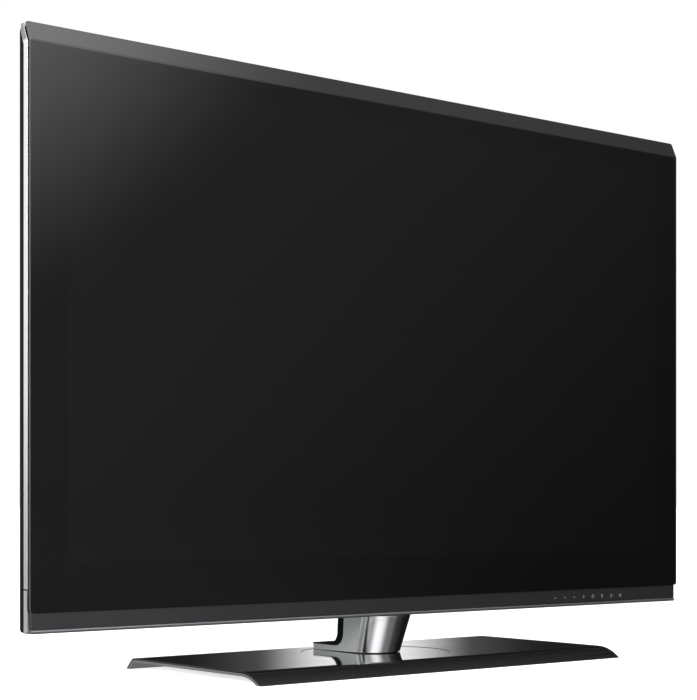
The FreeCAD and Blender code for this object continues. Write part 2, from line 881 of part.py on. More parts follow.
def make_module():
    shell = layer(module_half, case_front, chassis_back, module_bottom, module_top)
    inner = layer(
        module_half - case_thickness, case_front + case_thickness, back_depth,
        module_bottom + case_thickness, module_top - case_thickness,
    )
    window = layer(picture_width / 2, 0, back_depth, picture_bottom, picture_top)
    nodes["module_front_case"] = without(shell, [inner, window])

    gap = case_thickness + film_gap
    pan_front = cell_front + cell_thickness + film_gap
    pan = layer(module_half - gap, pan_front, chassis_back, module_bottom + gap, module_top - gap)
    room = layer(module_half - pan_wall, 0, chassis_front, module_bottom + pan_wall, module_top - pan_wall)
    nodes["module_back_pan"] = pan.cut(room)

    for name, front, thickness in (
        ("lcd_cell", cell_front, cell_thickness),
        ("prism_sheet", prism_front, film_thickness),
        ("diffuser_sheet", diffuser_front, film_thickness),
        ("light_guide", guide_front, guide_thickness),
        ("reflector_sheet", reflector_front, reflector_thickness),
    ):
        nodes[name] = layer(
            picture_width / 2 + guide_margin, front, front + thickness,
            picture_bottom - guide_margin, picture_top + guide_margin,
        )

    half = picture_width / 2
    back = chassis_front - film_gap
    strips = []
    for top in (0, 1):
        seat_z = module_top - pan_wall - film_gap if top else module_bottom + pan_wall + film_gap
        inward = -1 if top else 1
        low, high = sorted((seat_z, seat_z + inward * led_strip_thickness))
        parts = [layer(half, guide_front, back, low, high)]
        led_low, led_high = sorted((seat_z, seat_z + inward * (led_strip_thickness + led_height)))
        count = int(picture_width / led_pitch)
        led_front = behind(guide_front + guide_thickness / 2 - led_size / 2)
        for step in range(count):
            x = (step - count / 2) * led_pitch + (led_pitch - led_size) / 2
            parts.append(box(x, x + led_size, led_front, led_front + led_size, led_low, led_high))
        strips.append(fused(parts))
    nodes["led_strips"] = Part.makeCompound(strips)


# Boards

def circuit_board(x0, x1, z0, z1, parts):
    """A board with holes in its corners and the parts soldered on it.

    Each part is (across, up, width, height, depth), its middle given as shares of the board's size.
    """
    front = behind(board_front)
    board = box(x0, x1, front, front + board_thickness, z0, z1)
    holes = [
        rod(board_screw_radius + film_gap, V(place.x, front, place.z), V(0, 1, 0), board_thickness)
        for place in board_corners(x0, x1, z0, z1)
    ]
    board = without(board, holes)
    back = front + board_thickness
    blocks = []
    for across, up, width, height, depth in parts:
        x = x0 + across * (x1 - x0)
        z = z0 + up * (z1 - z0)
        blocks.append(box(x - width / 2, x + width / 2, back, back + depth, z - height / 2, z + height / 2))
    return fused([board, *blocks])


def board_corners(x0, x1, z0, z1):
    inset = board_hole_inset
    return [V(x, 0, z) for x in (x0 + inset, x1 - inset) for z in (z0 + inset, z1 - inset)]


def tcon_bottom():
    return picture_top - 2 * tcon_board_height


def board_places():
    """The four screw places of each of the three boards."""
    places = board_corners(main_board_left, main_board_right, main_board_bottom, main_board_top)
    places += board_corners(
        power_board_left, power_board_right, power_board_bottom, power_board_bottom + power_board_height,
    )
    half = tcon_board_width / 2
    places += board_corners(-half, half, tcon_bottom(), tcon_bottom() + tcon_board_height)
    return places


def make_boards():
    processor = (processor_size, processor_size, processor_depth)
    chip = (chip_size, chip_size, chip_depth)
    ribbon_socket = (ribbon_socket_length, ribbon_socket_height, ribbon_socket_depth)
    transformer = (transformer_size, transformer_size, transformer_depth)
    heat_sink = (heat_sink_thickness, heat_sink_length, transformer_depth)
    capacitor = (capacitor_size, capacitor_size, capacitor_depth)
    nodes["main_board"] = circuit_board(
        main_board_left, main_board_right, main_board_bottom, main_board_top,
        [
            (0.45, 0.5, *processor), (0.15, 0.4, *chip), (0.15, 0.65, *chip), (0.75, 0.45, *chip),
            (0.3, 0.85, *ribbon_socket),
        ],
    )
    nodes["power_board"] = circuit_board(
        power_board_left, power_board_right, power_board_bottom, power_board_bottom + power_board_height,
        [
            (0.2, 0.7, *transformer), (0.4, 0.3, *transformer), (0.65, 0.3, *transformer),
            (0.35, 0.7, *heat_sink), (0.6, 0.7, *heat_sink),
            (0.15, 0.35, *capacitor), (0.85, 0.35, *capacitor), (0.85, 0.65, *capacitor),
        ],
    )
    half = tcon_board_width / 2
    nodes["timing_board"] = circuit_board(
        -half, half, tcon_bottom(), tcon_bottom() + tcon_board_height,
        [(0.5, 0.45, *chip), (0.22, 0.75, *ribbon_socket), (0.78, 0.75, *ribbon_socket)],
    )
    lift = board_front - chassis_back - film_gap
    standoffs = []
    screws = []
    for place in board_places():
        foot = V(place.x, behind(chassis_back), place.z)
        pilot = rod(board_screw_radius, foot, V(0, 1, 0), lift)
        standoffs.append(rod(standoff_radius, foot, V(0, 1, 0), lift).cut(pilot))
        seat = V(place.x, behind(board_front + board_thickness), place.z)
        screws.append(screw(
            2 * board_screw_radius, board_screw_radius, board_screw_radius,
            board_thickness + board_lift / 2, seat, V(0, -1, 0),
        ))
    nodes["board_standoffs"] = Part.makeCompound(standoffs)
    nodes["board_screws"] = Part.makeCompound(screws)


# Sockets, on the walls of the connector bay

def on_board(height):
    """Y of the middle of a socket this high that is soldered to the front of the bay."""
    return behind(board_front + board_thickness + film_gap + height / 2)


def tongue_socket(width, height, tongue_width, tongue_height):
    """A metal shell with a tongue inside, its mouth facing down, centred on the origin's axis."""
    shell = box(-width / 2, width / 2, -height / 2, height / 2, 0, socket_depth)
    room = box(
        -width / 2 + socket_wall, width / 2 - socket_wall,
        -height / 2 + socket_wall, height / 2 - socket_wall, 0, socket_depth - socket_wall,
    )
    tongue = box(
        -tongue_width / 2, tongue_width / 2, -tongue_height / 2, tongue_height / 2,
        2 * socket_wall, socket_depth - socket_wall / 2,
    )
    return fused([shell.cut(room), tongue])


def facing_down(shape, height, x, mouth_z):
    placed = shape.copy()
    placed.translate(V(x, on_board(height), mouth_z))
    return placed


def facing_side(shape, height, mouth_x, z):
    placed = shape.copy()
    placed.rotate(V(0, 0, 0), V(0, 1, 0), -90)
    placed.translate(V(mouth_x, on_board(height), z))
    return placed


def lower_socket_xs():
    """Places along the bay's upper wall, left to right: two picture sockets, network, aerial."""
    step = main_board_width / (lower_socket_count + 1)
    return [main_board_left + step * (slot + 1) for slot in range(lower_socket_count)]


def side_socket_zs():
    """Heights along the bay's side wall: two media sockets and a picture socket."""
    step = main_board_height / (side_socket_count + 1)
    return [main_board_bottom + step * (slot + 1) for slot in range(side_socket_count)]


def bay_top():
    """The height of the wall that the sockets face down through."""
    return main_board_bottom - board_hole_inset


def bay_side():
    return main_board_right + board_hole_inset


def inlet_centre():
    return power_board_left + inlet_bay_width / 2


def make_sockets():
    mouth = bay_top() - socket_stand_out
    side_mouth = bay_side() + socket_stand_out
    first, second, third, fourth = lower_socket_xs()
    low_z, mid_z, high_z = side_socket_zs()
    hdmi = tongue_socket(hdmi_width, hdmi_height, hdmi_width - 4 * socket_wall, 2 * film_thickness)
    nodes["picture_sockets"] = Part.makeCompound([
        facing_down(hdmi, hdmi_height, first, mouth),
        facing_down(hdmi, hdmi_height, second, mouth),
        facing_side(hdmi, hdmi_height, side_mouth, high_z),
    ])
    usb = tongue_socket(usb_width, usb_height, usb_width - 4 * socket_wall, 4 * film_thickness)
    nodes["media_sockets"] = Part.makeCompound([
        facing_side(usb, usb_height, side_mouth, place) for place in (low_z, mid_z)
    ])

    lan = box(-lan_width / 2, lan_width / 2, -lan_height / 2, lan_height / 2, 0, socket_depth)
    lan_room = box(
        -lan_width / 2 + lan_wall, lan_width / 2 - lan_wall,
        -lan_height / 2 + lan_wall, lan_height / 2 - lan_wall, 0, socket_depth - lan_wall,
    )
    nodes["network_socket"] = facing_down(lan.cut(lan_room), lan_height, third, mouth)

    flange_radius = aerial_radius + lan_wall
    flange_low = socket_stand_out + jack_plate_thickness + film_gap
    barrel = rod(aerial_radius, V(0, 0, 0), V(0, 0, 1), socket_depth)
    flange = rod(flange_radius, V(0, 0, flange_low), V(0, 0, 1), lan_wall)
    groove_depth = socket_depth - lan_wall
    groove = ring(aerial_radius - socket_wall, aerial_radius / 2, V(0, 0, 0), V(0, 0, 1), groove_depth)
    aerial = fused([barrel, flange]).cut(groove)
    nodes["aerial_socket"] = facing_down(aerial, 2 * flange_radius, fourth, mouth)

    body = box(-inlet_width / 2, inlet_width / 2, -inlet_height / 2, inlet_height / 2, 0, socket_depth)
    room = box(
        -inlet_width / 2 + lan_wall, inlet_width / 2 - lan_wall,
        -inlet_height / 2 + lan_wall, inlet_height / 2 - lan_wall, 0, socket_depth - lan_wall,
    )
    pin_length = socket_depth - 1.5 * lan_wall
    pins = [
        rod(inlet_pin_radius, V(side * inlet_width / 4, 0, lan_wall), V(0, 0, 1), pin_length)
        for side in (-1, 1)
    ]
    inlet = fused([body.cut(room), *pins])
    nodes["mains_inlet"] = facing_down(inlet, inlet_height, inlet_centre(), mouth)

    lower_window, side_window = jack_windows(fit_gap)
    lower_plate = box(*lower_window[:4], bay_top(), bay_top() + jack_plate_thickness)
    side_plate = box(bay_side() - jack_plate_thickness, bay_side(), *side_window[2:])
    aerial_start = V(fourth, on_board(2 * flange_radius), mouth)
    holes = [
        socket_hole(hdmi_width, hdmi_height, first, mouth),
        socket_hole(hdmi_width, hdmi_height, second, mouth),
        socket_hole(lan_width, lan_height, third, mouth),
        rod(aerial_radius + fit_gap, aerial_start, V(0, 0, 1), socket_depth),
    ]
    side_holes = []
    for width, height, z in (
        (usb_width, usb_height, low_z),
        (usb_width, usb_height, mid_z),
        (hdmi_width, hdmi_height, high_z),
    ):
        long = width / 2 + fit_gap
        deep = height / 2 + fit_gap
        middle = on_board(height)
        side_holes.append(box(
            side_mouth - socket_depth, side_mouth, middle - deep, middle + deep, z - long, z + long,
        ))
    nodes["lower_jack_plate"] = without(lower_plate, holes)
    nodes["side_jack_plate"] = without(side_plate, side_holes)


def socket_hole(width, height, x, z):
    """Room through a plate for a socket that faces down."""
    wide = width / 2 + fit_gap
    deep = height / 2 + fit_gap
    middle = on_board(height)
    return box(x - wide, x + wide, middle - deep, middle + deep, z, z + socket_depth)


def jack_windows(inset):
    """The openings in the bay's two walls that the jack plates close: (x0, x1, y0, y1, z0, z1) each."""
    front = behind(bay_floor + cover_wall + inset)
    back = behind(inner_back - fit_gap - inset)
    lower = (
        main_board_left + board_hole_inset + inset, main_board_right - board_hole_inset - inset,
        front, back, bay_top() - film_gap, bay_top() + cover_wall + film_gap,
    )
    side = (
        bay_side() - cover_wall - film_gap, bay_side() + film_gap, front, back,
        main_board_bottom + board_hole_inset + inset, main_board_top - board_hole_inset - inset,
    )
    return lower, side


# Wall mount and stand bracket

def wall_mount_places():
    reach = wall_mount_spacing / 2
    return [V(x, 0, wall_mount_z + z) for x in (-reach, reach) for z in (-reach, reach)]


def make_mounting():
    rail_back = chassis_back + rail_thickness
    reach = wall_mount_spacing / 2
    rails = []
    for z in (wall_mount_z - reach, wall_mount_z + reach):
        half = rail_height / 2
        rails.append(layer(reach + rail_overhang, chassis_back, rail_back, z - half, z + half))
    nodes["wall_mount_rails"] = Part.makeCompound(rails)
    posts = []
    for place in wall_mount_places():
        foot = V(place.x, behind(rail_back), place.z)
        mouth = V(place.x, rear_face_y, place.z)
        post = rod(wall_mount_post_radius, foot, V(0, 1, 0), back_depth - rail_back)
        posts.append(post.cut(rod(wall_mount_thread_radius, mouth, V(0, -1, 0), wall_mount_thread_depth)))
    nodes["wall_mount_posts"] = Part.makeCompound(posts)

    low = bracket_bottom()
    high = low + bracket_height
    back = inner_back - film_gap
    front = seam_depth + film_gap
    plate = layer(bracket_half_width, back - bracket_thickness, back, low, high)
    cheeks = layer(bracket_half_width, front, back, low, high).cut(
        layer(bracket_half_width - bracket_thickness, 0, back, low, high)
    )
    flange_reach = bracket_half_width + 4 * bracket_thickness
    flanges = layer(flange_reach, front, front + bracket_thickness, low, high).cut(
        layer(bracket_half_width - bracket_thickness, 0, back, low, high)
    )
    bracket = fused([plate, *cheeks.Solids, *flanges.Solids])
    thread_start = behind(back - 2 * bracket_thickness)
    threads = [
        rod(stand_screw_radius, V(place.x, thread_start, place.z), V(0, 1, 0), back_depth)
        for place in panel_screw_places()
    ]
    nodes["stand_bracket"] = without(bracket, threads)


def bracket_bottom():
    """The bracket stands clear of the rear cover's sloping underside."""
    return cover_bottom + bulge_bottom_slope + 2 * cover_wall


# Rear cover

def bulge_span(depth, inset):
    """Half width, bottom and top of the rear bulge at this depth, or of the hollow in it."""
    share = (depth - edge_depth) / bulge_depth
    side_shift = inset * math.hypot(1, bulge_slope_run / bulge_depth)
    low_shift = inset * math.hypot(1, bulge_bottom_slope / bulge_depth)
    half = cover_half - bulge_side_inset - bulge_slope_run * share - side_shift
    top = cover_top - bulge_top_inset - bulge_slope_run * share - side_shift
    bottom = cover_bottom + bulge_bottom_slope * share + low_shift
    return half, bottom, top


def bulge_block(start, inset):
    """The rear bulge from this depth to its back, with its four sloping corners rounded."""
    root_half, root_bottom, root_top = bulge_span(start, inset)
    end = back_depth - inset
    half, bottom, top = bulge_span(end, inset)
    block = Part.makeWedge(
        -root_half, behind(start), root_bottom, bottom, -half,
        root_half, behind(end), root_top, top, half,
    )
    sloping = [*depth_edges(block, True), *depth_edges(block, False)]
    return block.makeFillet(bulge_corner - inset, sloping)


def cover_solid():
    """The rear cover's outer form: a rim that makes room for the bent top edge, and the bulge.

    The rim's rear edges are rounded along its top and bottom. Under the bulge it stays full to its
    bottom, so the bulge's slope starts there.
    """
    rim = layer(cover_half, seam_depth, edge_depth, cover_bottom, cover_top)
    rear_edges = [
        edge for edge in rim.Edges
        if edge.CenterOfMass.y > behind(edge_depth - film_gap) and edge.BoundBox.XLength > cover_half
    ]
    rim = rim.makeFillet(cover_edge_round, rear_edges)
    root_half, root_bottom = bulge_span(edge_depth, 0)[:2]
    sill = layer(root_half, seam_depth, edge_depth, root_bottom, root_bottom + bulge_corner)
    bend = ahead_of_cover(strip(0, seam_depth, cover_bottom, sheet_top, -sheet_half, sheet_half), 0)
    return rim.fuse(sill).cut(bend).fuse(bulge_block(edge_depth, 0))


def cover_hollow():
    """The room inside the rear cover's wall, open at the front."""
    wall = cover_wall
    rim = layer(cover_half - wall, frame_front, edge_depth - wall, cover_bottom + wall, cover_top - wall)
    return rim.fuse(bulge_block(edge_depth - wall, wall))


def bays(grow):
    """The two-legged connector bay and the mains inlet's bay, as (x0, x1, z0, z1)."""
    left = main_board_left - board_hole_inset
    right = bay_side() + bay_width
    low = bay_top() - bay_width
    high = main_board_top + board_hole_inset
    inlet_left = inlet_centre() - inlet_bay_width / 2
    inlet_right = inlet_centre() + inlet_bay_width / 2
    spans = [
        (left, right, low, bay_top()),
        (bay_side(), right, bay_top() - grow, high),
        (inlet_left, inlet_right, bay_top() - inlet_bay_height, bay_top()),
    ]
    front = behind(bay_floor - grow)
    back = behind(back_depth + bay_depth)
    return [box(x0 - grow, x1 + grow, front, back, z0 - grow, z1 + grow) for x0, x1, z0, z1 in spans]


def cover_screw_places():
    """Seats of the rear cover's screws: down both sides and along the top."""
    side_x = cover_half - cover_screw_inset
    low = cover_bottom + 3 * cover_screw_inset
    high = crease_z - 3 * cover_screw_inset
    step = (high - low) / (cover_screw_count - 1)
    places = [
        V(side * side_x, behind(edge_depth), low + step * index)
        for side in (-1, 1) for index in range(cover_screw_count)
    ]
    top_z = cover_top - cover_screw_inset
    span = 2 * side_x / cover_screw_count
    places += [
        V((index - (cover_screw_count - 1) / 2) * span, behind(edge_depth), top_z)
        for index in range(cover_screw_count)
    ]
    return places


def vent_slots():
    slots = []
    middle = cover_top - vent_top_drop
    front = behind(inner_back - cover_wall)
    back = behind(back_depth + cover_wall)
    for side in (-1, 1):
        for index in range(vent_slot_count):
            x = side * vent_centre_x + (index - (vent_slot_count - 1) / 2) * vent_slot_pitch
            slots.append(box(
                x - vent_slot_width / 2, x + vent_slot_width / 2, front, back,
                middle - vent_slot_length / 2, middle + vent_slot_length / 2,
            ))
    return slots


def speaker_slots():
    slots = []
    for side in (-1, 1):
        for index in range(speaker_slot_count):
            x = side * speaker_centre() + (index - (speaker_slot_count - 1) / 2) * speaker_slot_pitch
            slots.append(box(
                x - speaker_slot_width / 2, x + speaker_slot_width / 2,
                speaker_y() - cone_width / 2, speaker_y() + cone_width / 2,
                panel_bottom, speaker_bottom - film_gap,
            ))
    return slots


def make_rear_cover():
    back = V(0, 1, 0)
    bosses = []
    holes = []
    screws = []
    length = edge_wall_depth + cover_screw_bite
    for place in cover_screw_places():
        start = V(place.x, behind(seam_depth - cover_screw_bite), place.z)
        bosses.append(rod(2 * cover_screw_head_radius, start, back, length - cover_wall / 2))
        holes.append(rod(cover_screw_radius + film_gap, start, back, back_depth))
        screws.append(screw(
            cover_screw_head_radius, cover_screw_head, cover_screw_radius, length, place, V(0, -1, 0),
        ))
    outer = cover_solid()
    hollow = without(cover_hollow(), [*bays(cover_wall), *bosses])
    cuts = [*hollow.Solids, *bays(0), *holes, *vent_slots(), *speaker_slots()]
    cuts += [box(*window) for window in jack_windows(0)]
    cuts.append(socket_hole(inlet_width, inlet_height, inlet_centre(), bay_top() - socket_stand_out))
    for place in wall_mount_places():
        start = V(place.x, behind(inner_back - cover_wall), place.z)
        cuts.append(rod(wall_mount_post_radius + fit_gap, start, back, back_depth))
    for place in panel_screw_places():
        start = V(place.x, behind(inner_back - cover_wall), place.z)
        cuts.append(rod(stand_screw_radius + film_gap, start, back, back_depth))
    nodes["rear_cover"] = outer.cut(cuts)
    nodes["rear_cover_screws"] = Part.makeCompound(screws)


# Speakers

def speaker_centre():
    return speaker_inner_x + speaker_length / 2


def speaker_y():
    return behind(seam_depth + film_gap + speaker_depth / 2)


def make_speakers():
    up = V(0, 0, 1)
    x = speaker_centre()
    y = speaker_y()
    deep = speaker_depth / 2
    floor = speaker_bottom + speaker_wall
    half = speaker_length / 2
    top = speaker_bottom + speaker_height
    outer = box(x - half, x + half, y - deep, y + deep, speaker_bottom, top)
    half_room = half - speaker_wall
    deep_room = deep - speaker_wall
    room = box(x - half_room, x + half_room, y - deep_room, y + deep_room, floor, top - speaker_wall)
    mouth = oblong(cone_length, cone_width, V(x, y, speaker_bottom), speaker_wall)
    enclosure = without(outer, [room, mouth])

    lap = 2 * surround_width
    surround_seat = V(x, y, floor + film_gap)
    surround_outer = oblong(cone_length + lap, cone_width + lap, surround_seat, film_thickness)
    surround_hole = oblong(cone_length - lap, cone_width - lap, surround_seat, film_thickness)
    surround = surround_outer.cut(surround_hole)

    cone_low = floor + film_gap + film_thickness + cone_travel + fit_gap
    dish = oblong(cone_length, cone_width, V(x, y, cone_low), case_thickness)
    coil = ring(coil_radius + coil_thickness, coil_radius, V(x, y, cone_low), up, coil_length)
    cone = fused([dish, coil])

    magnet_low = cone_low + case_thickness + cone_travel + fit_gap
    groove_top = cone_low + coil_length + cone_travel + fit_gap
    magnet_height = groove_top - magnet_low + speaker_wall
    body = rod(magnet_radius, V(x, y, magnet_low), up, magnet_height)
    yoke = box(
        x - magnet_radius, x + magnet_radius, y - deep_room + film_gap, y + deep_room - film_gap,
        magnet_low + magnet_height - speaker_wall, magnet_low + magnet_height,
    )
    groove = ring(
        coil_radius + coil_thickness + fit_gap, coil_radius - fit_gap,
        V(x, y, magnet_low), up, groove_top - magnet_low,
    )
    magnet = fused([body, yoke]).cut(groove)

    nodes["speaker_boxes"] = Part.makeCompound([enclosure, mirrored(enclosure)])
    nodes["speaker_surrounds"] = Part.makeCompound([surround, mirrored(surround)])
    nodes["speaker_magnets"] = Part.makeCompound([magnet, mirrored(magnet)])
    nodes["speaker_cone_right"] = cone
    nodes["speaker_cone_left"] = mirrored(cone)


def save_nodes():
    os.makedirs("parts", exist_ok=True)
    for name, shape in nodes.items():
        shape.exportStep("parts/" + name + ".step")


make_base()
make_swivel()
make_neck()
make_front()
make_module()
make_boards()
make_sockets()
make_mounting()
make_rear_cover()
make_speakers()
save_nodes()
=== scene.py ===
# Flat screen television with a full-face front sheet, on a swivelling pedestal stand.
# Metres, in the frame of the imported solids: +X to the viewer's right, +Y away, +Z up.
from math import atan2, cos, hypot, pi, radians, sin, tan

import bmesh
import bpy
from bpy.props import FloatProperty, FloatVectorProperty, IntProperty, PointerProperty
from mathutils import Matrix, Vector


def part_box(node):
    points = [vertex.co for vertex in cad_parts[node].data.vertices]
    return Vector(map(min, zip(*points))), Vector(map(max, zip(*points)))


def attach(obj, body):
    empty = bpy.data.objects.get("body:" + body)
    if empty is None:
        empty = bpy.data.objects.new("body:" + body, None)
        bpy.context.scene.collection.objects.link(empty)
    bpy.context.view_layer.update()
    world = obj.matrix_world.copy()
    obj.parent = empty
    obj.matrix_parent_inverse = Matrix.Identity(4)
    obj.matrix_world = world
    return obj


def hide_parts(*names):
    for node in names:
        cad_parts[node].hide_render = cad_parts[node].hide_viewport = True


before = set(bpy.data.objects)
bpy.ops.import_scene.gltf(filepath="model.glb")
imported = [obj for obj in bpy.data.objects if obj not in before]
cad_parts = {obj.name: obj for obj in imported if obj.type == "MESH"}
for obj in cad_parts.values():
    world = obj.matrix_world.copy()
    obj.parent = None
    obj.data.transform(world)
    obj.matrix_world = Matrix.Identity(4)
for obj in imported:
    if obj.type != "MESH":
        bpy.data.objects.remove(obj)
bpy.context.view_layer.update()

bl_info = {
    "name": "Flat screen television",
    "version": (1, 0, 0),
    "blender": (4, 5, 0),
    "location": "View3D > Sidebar > Television",
    "description": "Dresses the solids of a flat screen television in modelled pieces and finishes",
    "category": "Object",
}

MM = 0.001
UP = Vector((0, 0, 1))
FULL_TURN = 2 * pi
QUARTER_TURN = pi / 2
FILM_WIDTH = 36.0

# Places nearer than this are one place
TOUCH = 0.001 * MM
# A face looks along an axis when its normal's share of it is above this
FACING = cos(radians(60))
# Ends are made this many times too long, then trimmed back by a plane
OVERSHOOT = 2


def linear(code):
    """An sRGB hex colour as linear light."""
    levels = [int(code[place:place + 2], 16) / 255 for place in (1, 3, 5)]
    return [
        level / 12.92 if level <= 0.04045 else ((level + 0.055) / 1.055) ** 2.4
        for level in levels
    ]


def number(name, description, value, **limits):
    return FloatProperty(name=name, description=description, default=value, **limits)


def length(name, description, millimetres):
    return number(name, description, millimetres * MM, min=0, unit="LENGTH", subtype="DISTANCE")


def turn(name, description, degrees):
    return number(name, description, radians(degrees), subtype="ANGLE")


def share(name, description, value):
    return number(name, description, value, min=0, soft_max=1, subtype="FACTOR")


def steps(name, description, value, least):
    return IntProperty(name=name, description=description, default=value, min=least)


def spot(name, description, metres):
    return FloatVectorProperty(
        name=name, description=description, default=metres, size=3, subtype="XYZ", unit="LENGTH",
    )


def colour(name, description, code):
    return FloatVectorProperty(
        name=name, description=description, default=linear(code), min=0, max=1, size=3,
        subtype="COLOR",
    )


# Settings

class PanelSettings(bpy.types.PropertyGroup):
    """Sizes of the pieces around the picture."""
    sheet_thickness: length("Sheet thickness", "Thickness of the clear front sheet", 3.0)
    sheet_bend: length("Sheet bend", "Outer radius of the sheet's bend below its strip", 6.0)
    bend_radius: length("Trim bend", "Outer radius of the trims' bend beside it", 18.0)
    strip_height: length("Strip height", "Height of the slanted strip along the top", 20.6)
    strip_back: length("Strip setback", "How far the strip leans back at the top", 8.8)
    bend_steps: steps("Bend steps", "Faces round the bend", 12, 2)
    top_corner: length("Top corners", "Rounding of the sheet's top corners", 3.0)
    bottom_corner: length("Bottom corners", "Rounding of the sheet's bottom corners", 4.0)
    polish: length("Polished edge", "Width of the polished chamfer round the sheet", 0.3)
    moulding_round: length("Moulding edges", "Rounding of the moulded edges", 0.5)
    bar_wall: length("Bar wall", "Wall thickness of the hollow lower bar", 2.5)
    trim_round: length("Trim edges", "Rounding of the metal trims' edges", 0.3)
    trim_top_round: length("Trim top", "Rounding of the metal trims' top ends", 4.0)
    trim_seam: length("Trim seam", "Extra gap that shows between the two trims of a side", 0.9)
    trim_reach: length("Trim reach", "How much further forward the side trims come", 1.2)
    lip_round: length("Lip rounding", "Rounding of the lip along the bottom", 1.8)
    cover_round: length("Cover edges", "Softening of the rear cover's edges", 0.5)
    cover_long_edge: length("Long edges", "Shortest edge of the rear cover that is softened", 60.0)
    picture_width: length("Picture width", "Width of the picture", 930.0)
    picture_height: length("Picture height", "Height of the picture", 523.0)
    picture_rise: length("Picture rise", "Height of the picture above the sheet's foot", 51.0)


class MarkSettings(bpy.types.PropertyGroup):
    """The row of touch symbols on the lower bar."""
    first: length("First mark", "Distance of the first symbol right of the middle", 271.0)
    pitch: length("Pitch", "Distance between symbols", 18.0)
    rise: length("Height", "Height of the symbols above the bar's lower edge", 7.6)
    size: length("Size", "Height of a symbol", 3.8)
    stroke: length("Stroke", "Width of a symbol's lines", 0.5)
    proud: length("Ink", "Thickness of the printed symbols", 0.05)


class StandSettings(bpy.types.PropertyGroup):
    """Sizes of the base and the neck."""
    front_radius: length("Front lip radius", "Radius of the bend into the front lip", 56.0)
    front_angle: turn("Front lip angle", "Slope of the front lip", 38.0)
    rear_radius: length("Rear lip radius", "Radius of the bend into the rear lip", 8.0)
    rear_angle: turn("Rear lip angle", "Slope of the rear lip", 45.0)
    bend_steps: steps("Bend steps", "Faces round each bend of the base", 14, 2)
    skin: length("Skin", "Thickness of the base's glossy skin", 2.0)
    disc_gap: length("Disc gap", "Gap round the turntable disc", 0.3)
    disc_sides: steps("Disc sides", "Faces round the disc", 160, 24)
    edge: length("Edges", "Rounding of the base's edges", 0.35)
    neck_sides: steps("Neck sides", "Faces round the front of the neck", 64, 12)
    neck_wall: length("Neck wall", "Thickness of the neck's shells", 2.5)
    neck_edge: length("Neck edges", "Rounding of the neck's edges", 0.4)
    foot_shadow: length("Foot shadow line", "Dark gap between the neck and the turntable", 0.9)
    rear_return: length("Rear return", "Width of the black return on the neck's sides", 3.2)
    paint_line: length("Paint line", "Rim that the paint leaves round the neck's sides", 0.5)
    half_width_low: length("Neck foot", "Half the neck's width at its foot", 32.5)
    front_depth_low: length("Neck foot depth", "Depth of the neck's round front at its foot", 27.0)
    front_depth_high: length("Neck top depth", "Depth of the neck's round front at its top", 28.5)
    seam_gap: length("Seam gap", "Gap between the neck's front and its sides", 0.1)


class FinishSettings(bpy.types.PropertyGroup):
    """Colours of the finishes."""
    sheet: colour("Front sheet", "Black print behind the clear sheet", "#030303")
    picture: colour("Picture", "Switched-off picture behind the sheet", "#040404")
    sheet_edge: colour("Sheet edge", "Cut edge of the clear sheet", "#1C1D1E")
    bar: colour("Lower bar", "Satin moulding below the sheet", "#141415")
    aluminium: colour("Trim metal", "Anodised trim", "#C8C9CB")
    # Darker grey for the trims past their bend: painted shade where the bent top turns from the
    # light
    trim_end_painted_shade: colour("Trim end", "Anodised trim past its bend", "#7C7E80")
    lip: colour("Lip metal", "Painted lip", "#5A5B5D")
    chrome: colour("Neck plating", "Bright plating", "#DADBDD")
    neck_side: colour("Neck sides", "Satin painted metal", "#9A9E9E")
    housing: colour("Rear housing rim", "Moulded black plastic, smooth", "#060606")
    # Lighter than the rim: painted fill light on the rear, besides the real spark texture
    rear: colour("Rear housing", "Moulded black plastic, textured", "#222224")
    piano: colour("Base skin", "Black lacquered acrylic", "#0A0A0B")
    base_edge: colour("Base shell", "Silver painted shell", "#7E8082")
    mark: colour("Touch marks", "Grey printing ink", "#66686A")


class StudioSettings(bpy.types.PropertyGroup):
    """The camera and the studio."""
    camera_place: spot("Camera place", "Where the camera stands", (-1.4323, -1.6921, 0.1996))
    camera_turn: turn("Camera turn", "Direction of the level camera, clockwise from +Y", 39.2)
    focal_pixels: number("Focal length", "Focal length in pixels", 1790.0, min=1)
    picture_pixels: number("Picture side", "Longer side in pixels", 700.0, min=1)
    horizon_drop: number("Horizon drop", "Pixels from the picture's middle to the horizon", 152.2)
    floor_size: length("Floor size", "Side of the square floor", 120000.0)
    floor: colour("Floor", "Pale floor", "#D8D8D8")
    floor_glow: share("Floor level", "How far the floor is lifted to white where it is seen", 0.7)
    tent_radius: length("Tent radius", "Radius of the studio's reflection tent", 50000.0)
    tent_level: share("Tent grey", "Level of the tent between its bright and dark parts", 0.02)
    flag_lift: length("Flag lift", "Height of the floor cloth above the floor", 0.3)
    key_size: length("Key light size", "Side of the soft key light", 700.0)
    key_power: number("Key light power", "Power of the key light", 160.0, unit="POWER")
    key_place: spot("Key light place", "Where the key light hangs", (-1.5, -1.1, 0.6))
    world_level: share("Surroundings", "Level of the white light from all round", 1.0)


# Mesh building

def block(low, high):
    """A new mesh of a box between two corners."""
    bm = bmesh.new()
    place = Matrix.Translation((low + high) / 2) @ Matrix.Diagonal((high - low).to_4d())
    bmesh.ops.create_cube(bm, size=1.0, matrix=place)
    return bm


def flat(bm, low, high):
    """A rectangle between two opposite corners of a level or an upright plane."""
    low = Vector(low)
    high = Vector(high)
    span = high - low
    level = abs(span.z) < TOUCH
    turned = Matrix() if level else Matrix.Rotation(QUARTER_TURN, 4, "X")
    stretch = Matrix.Diagonal((span.x, span.y if level else span.z, 1, 1))
    place = Matrix.Translation((low + high) / 2) @ turned @ stretch
    # The size of a grid is half its side
    made = bmesh.ops.create_grid(bm, x_segments=1, y_segments=1, size=0.5, matrix=place)
    return made["verts"][0].link_faces[0]


def corners_of(geometry):
    return [item for item in geometry if isinstance(item, bmesh.types.BMVert)]


def faces_of(geometry):
    return [item for item in geometry if isinstance(item, bmesh.types.BMFace)]


